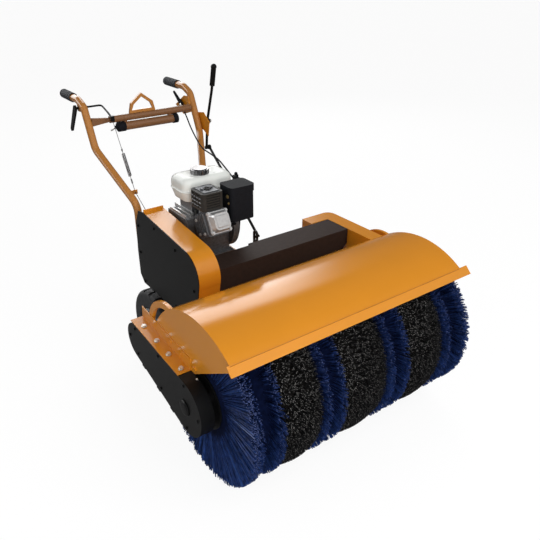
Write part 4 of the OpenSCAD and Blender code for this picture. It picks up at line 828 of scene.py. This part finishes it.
def add_clutch_line():
    """The wire and spring from the clutch lever to the guide, and the wire from there to the idler."""
    along = WIRE_GUIDE - WIRE_TOP
    ahead = along.normalized()
    a, b = (WIRE_TOP + along * s for s in SPRING_SHARES)
    side = ahead.cross(Vector(OUT_RIGHT)).normalized()
    spring = Shape().tube(coil_path(a, b, ahead, side), SPRING_WIRE_R, SMALL_SIDES)
    spring = spring.piece("spring_coil", STEEL, None, "steel", ["clutch_spring"])
    line = Shape().rod(WIRE_TOP, a - ahead * WIRE_SPRING_GAP, WIRE_R, WIRE_SIDES)
    eye = circle(a - ahead * EYE_BACK, side, ahead, EYE_R, EYE_STEPS)
    line.tube([*eye, eye[0]], WIRE_R, SMALL_SIDES)
    line.rod(b + ahead * WIRE_SPRING_GAP, WIRE_GUIDE, WIRE_R, WIRE_SIDES)
    line.rod(*(b + ahead * s for s in FERRULE_SPAN), FERRULE_R, WIRE_SIDES)
    upper = line.piece("clutch_line", STEEL, None, "steel", ["clutch_wire"])
    for made in (spring, upper):
        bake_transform(made)
    idler = to_machine(pivot("idler_pulley_spin"))
    tip = Vector((WIRE_IDLER_X, idler.y, idler.z))
    tip += (WIRE_GUIDE - tip).normalized() * WIRE_IDLER_GAP
    lower = Shape().rod(WIRE_GUIDE, tip, WIRE_R, WIRE_SIDES).piece("clutch_line_low", STEEL, None, "steel")
    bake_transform(lower)


# Engine

CRANK = Vector((-131, 600, 585))
TILT = math.radians(25)
TANK_MIDDLE = (-90, 616)
TANK_HALF = (106, 67)
TANK_CORNER = 34
TANK_CORNER_STEPS = 9
# Heights, each with how far the tank's wall stands in from its widest
TANK_PROFILE = ((706, 14), (706.6, 11.5), (708, 10), (742, 0.4), (743.4, 0.2), (744, -1.5), (744.6, -2), (745.4, -2),
                (746, -1.5), (746.6, 0.2), (758, 0.2), (768, 0.6), (775, 1.6), (781, 3.6), (786, 7.5), (789.5, 12),
                (792, 18), (793.4, 25), (794, 35))
NECK_FOOT = (-100, 606, 792)
NECK_TOP = (-100, 606, 804)
NECK_R = 26
HEAD_BOLT_U = (-36, 36)
HEAD_BOLT_V = (-35, 35)
HEAD_BOLT = (9, 6)
HEAD_BOSS_W = (186.5, 193)
HEAD_BOSS_R = 7.5
PANEL_CORNERS = ((-24, -22), (24, -22), (24, 22), (-24, 22))
PANEL_STEPS = ((1, 214), (1, 217), (0.9, 218.5))
PLATE_INSET = (14, 12)
PLATE_T = 3
PLATE_BOLT_INSET = 24
PLATE_BOLT = (10, 6)
LOUVRE_ROWS = 3
LOUVRES_IN_ROW = 4
LOUVRE_START_YZ = (14, 16)
LOUVRE_PITCH_YZ = (18, 15)
LOUVRE_LENGTH = 11
LOUVRE_R = 2.2
OUTLET_FORWARD = 4
OUTLET_PROFILE = ((0.1, 0), (13, 0), (13, 4), (9, 4), (9, 1), (0.1, 1))
# The cleaner's nuts: how far behind its front and below its top they are, and the bolt's two sizes
CLEANER_NUTS = ((26, 36, 11, 4), (20, 60, 7, 3))
CONTROL_X = (31.2, 52.8)
CONTROL_Z = (690, 765)
CONTROL_FRONT = 9
CONTROL_BACK = 0.9
# The control's knobs: X, height at the foot, height at the end, how far the end stands out, and radius
CONTROL_KNOBS = ((36, 758, 762, 22, 7), (47, 750, 750, 18, 8))
CONTROL_CAP_X = 44
CONTROL_CAP_OUT = 5
CONTROL_CAP_PROFILE = ((0.1, 0), (6, 0), (7, 4), (5, 10), (0.1, 11))
CASE_BOLT_UVW = ((-50.5, -30, 120), (-50.5, 24, 118), (-50.5, -32, 160))
CASE_BOLT = (9, 5)
RIB_Y = ((548, 668), (545, 640), (552, 690), (560, 640))
RIB_X = -203
RIB_PITCH = 16
RIB_T = 6
RIB_Z = (652, 663)
RIB_RISE = 2


def barrel(u, v, w):
    """A place on the tilted barrel: u along X, v up across it, w out from the crankshaft."""
    out = Vector((0, -math.cos(TILT), math.sin(TILT)))
    up = Vector((0, math.sin(TILT), math.cos(TILT)))
    return CRANK + Vector((u, 0, 0)) + up * v + out * w


def tank_ring(z, inset):
    """A level rounded rectangle round the tank, as a ring of points."""
    corner = TANK_CORNER - inset / 2
    half_x, half_y = (half - inset for half in TANK_HALF)
    ring = []
    for k, (sx, sy) in enumerate(((1, 1), (-1, 1), (-1, -1), (1, -1))):
        for i in range(TANK_CORNER_STEPS + 1):
            t = (k + i / TANK_CORNER_STEPS) * math.pi / 2
            ring.append((TANK_MIDDLE[0] + sx * (half_x - corner) + corner * math.cos(t),
                         TANK_MIDDLE[1] + sy * (half_y - corner) + corner * math.sin(t), z))
    return ring


def add_tank():
    """The tank with rounded shoulders in place of the CAD's straight ones."""
    shell = Shape().rings([tank_ring(z, inset) for z, inset in TANK_PROFILE])
    shell.rod(NECK_FOOT, NECK_TOP, NECK_R, ROUND_SIDES)
    shell.piece("tank_shell", CREAM, "chassis", "cream_tank", ["fuel_tank"])


def add_head():
    """Bolts on their bosses, and a raised panel on the head cover."""
    bright = Shape()
    foot, top = HEAD_BOSS_W
    for u in HEAD_BOLT_U:
        for v in HEAD_BOLT_V:
            bright.rod(barrel(u, v, foot), barrel(u, v, top), HEAD_BOSS_R)
            bright.bolt(barrel(u, v, top), barrel(0, 0, 1) - CRANK, *HEAD_BOLT)
    panel = [[barrel(u * s, v * s, w) for u, v in PANEL_CORNERS] for s, w in PANEL_STEPS]
    bright.rings(panel, smooth=False)
    # The head bolts and panel take the pale alloy, partly painted highlight
    bright.piece("head_bolts", PALE_ALLOY_AND_HIGHLIGHT, "chassis", "engine_alloy")


def add_muffler_details():
    """The plate on top with its bolts, the louvres on the left and the outlet."""
    low, high = node_box("muffler")
    middle = (low + high) / 2
    plate_z = high.z + PLATE_T
    top = Shape()
    inset_x, inset_y = PLATE_INSET
    top.box((low.x + inset_x, low.y + inset_y, high.z), (high.x - inset_x, high.y - inset_y, plate_z))
    for x in (low.x + PLATE_BOLT_INSET, high.x - PLATE_BOLT_INSET):
        top.bolt((x, middle.y, plate_z), OUT_UP, *PLATE_BOLT)
    start_y, start_z = LOUVRE_START_YZ
    pitch_y, pitch_z = LOUVRE_PITCH_YZ
    for row in range(LOUVRE_ROWS):
        for k in range(LOUVRES_IN_ROW):
            y = low.y + start_y + k * pitch_y
            z = low.z + start_z + row * pitch_z
            top.rod((low.x, y, z), (low.x, y + LOUVRE_LENGTH, z), LOUVRE_R, WIRE_SIDES)
    top.piece("muffler_plate", ALLOY_AND_SHADE, "chassis", "muffler_black")
    outlet = Shape().lathe((middle.x, middle.y - OUTLET_FORWARD, plate_z), OUT_UP, OUTLET_PROFILE)
    outlet.piece("muffler_outlet", HEAT, "chassis", "muffler_black")


def add_cleaner_details():
    """The air cleaner's nuts, and the control that the throttle cable runs to."""
    low, high = node_box("air_cleaner")
    nuts = Shape()
    for behind, below, across, head in CLEANER_NUTS:
        nuts.bolt((low.x, low.y + behind, high.z - below), OUT_LEFT, across, head)
    nuts.piece("cleaner_nut", BRASS, "chassis", "steel")
    control = Shape()
    end_y = node_box("throttle_cable")[0].y
    front_y = end_y - CONTROL_FRONT
    (x0, x1), (z0, z1) = CONTROL_X, CONTROL_Z
    control.box((x0, front_y, z0), (x1, end_y + CONTROL_BACK, z1))
    for x, foot_z, knob_z, out, radius in CONTROL_KNOBS:
        control.rod((x, front_y, foot_z), (x, end_y - out, knob_z), radius)
    control.lathe((CONTROL_CAP_X, end_y - CONTROL_CAP_OUT, z1), OUT_UP, CONTROL_CAP_PROFILE, WASHER_SIDES)
    control.piece("control_cluster", PLASTIC, "chassis", "black_plastic")


def add_crankcase_details():
    """Bolt heads and the ribs under the tank, which show past the belt cover, in the pale alloy that also paints their
    highlights.
    """
    bright = Shape()
    for u, v, w in CASE_BOLT_UVW:
        bright.bolt(barrel(u, v, w), OUT_LEFT, *CASE_BOLT)
    foot, top = RIB_Z
    for k, (y0, y1) in enumerate(RIB_Y):
        x = RIB_X + k * RIB_PITCH
        bright.box((x, y0, foot), (x + RIB_T, y1, top + RIB_RISE * k))
    bright.piece("crankcase_ribs", PALE_ALLOY_AND_HIGHLIGHT, "chassis", "engine_alloy")


add_camera()
add_stage()
dress_nodes()
soften("head_shell", "head_cover", "chassis")
add_brush()
add_fasteners()
add_wheel_details()
add_handle_details()
add_throttle_cable()
add_clutch_line()
add_tank()
add_head()
add_muffler_details()
add_cleaner_details()
add_crankcase_details()
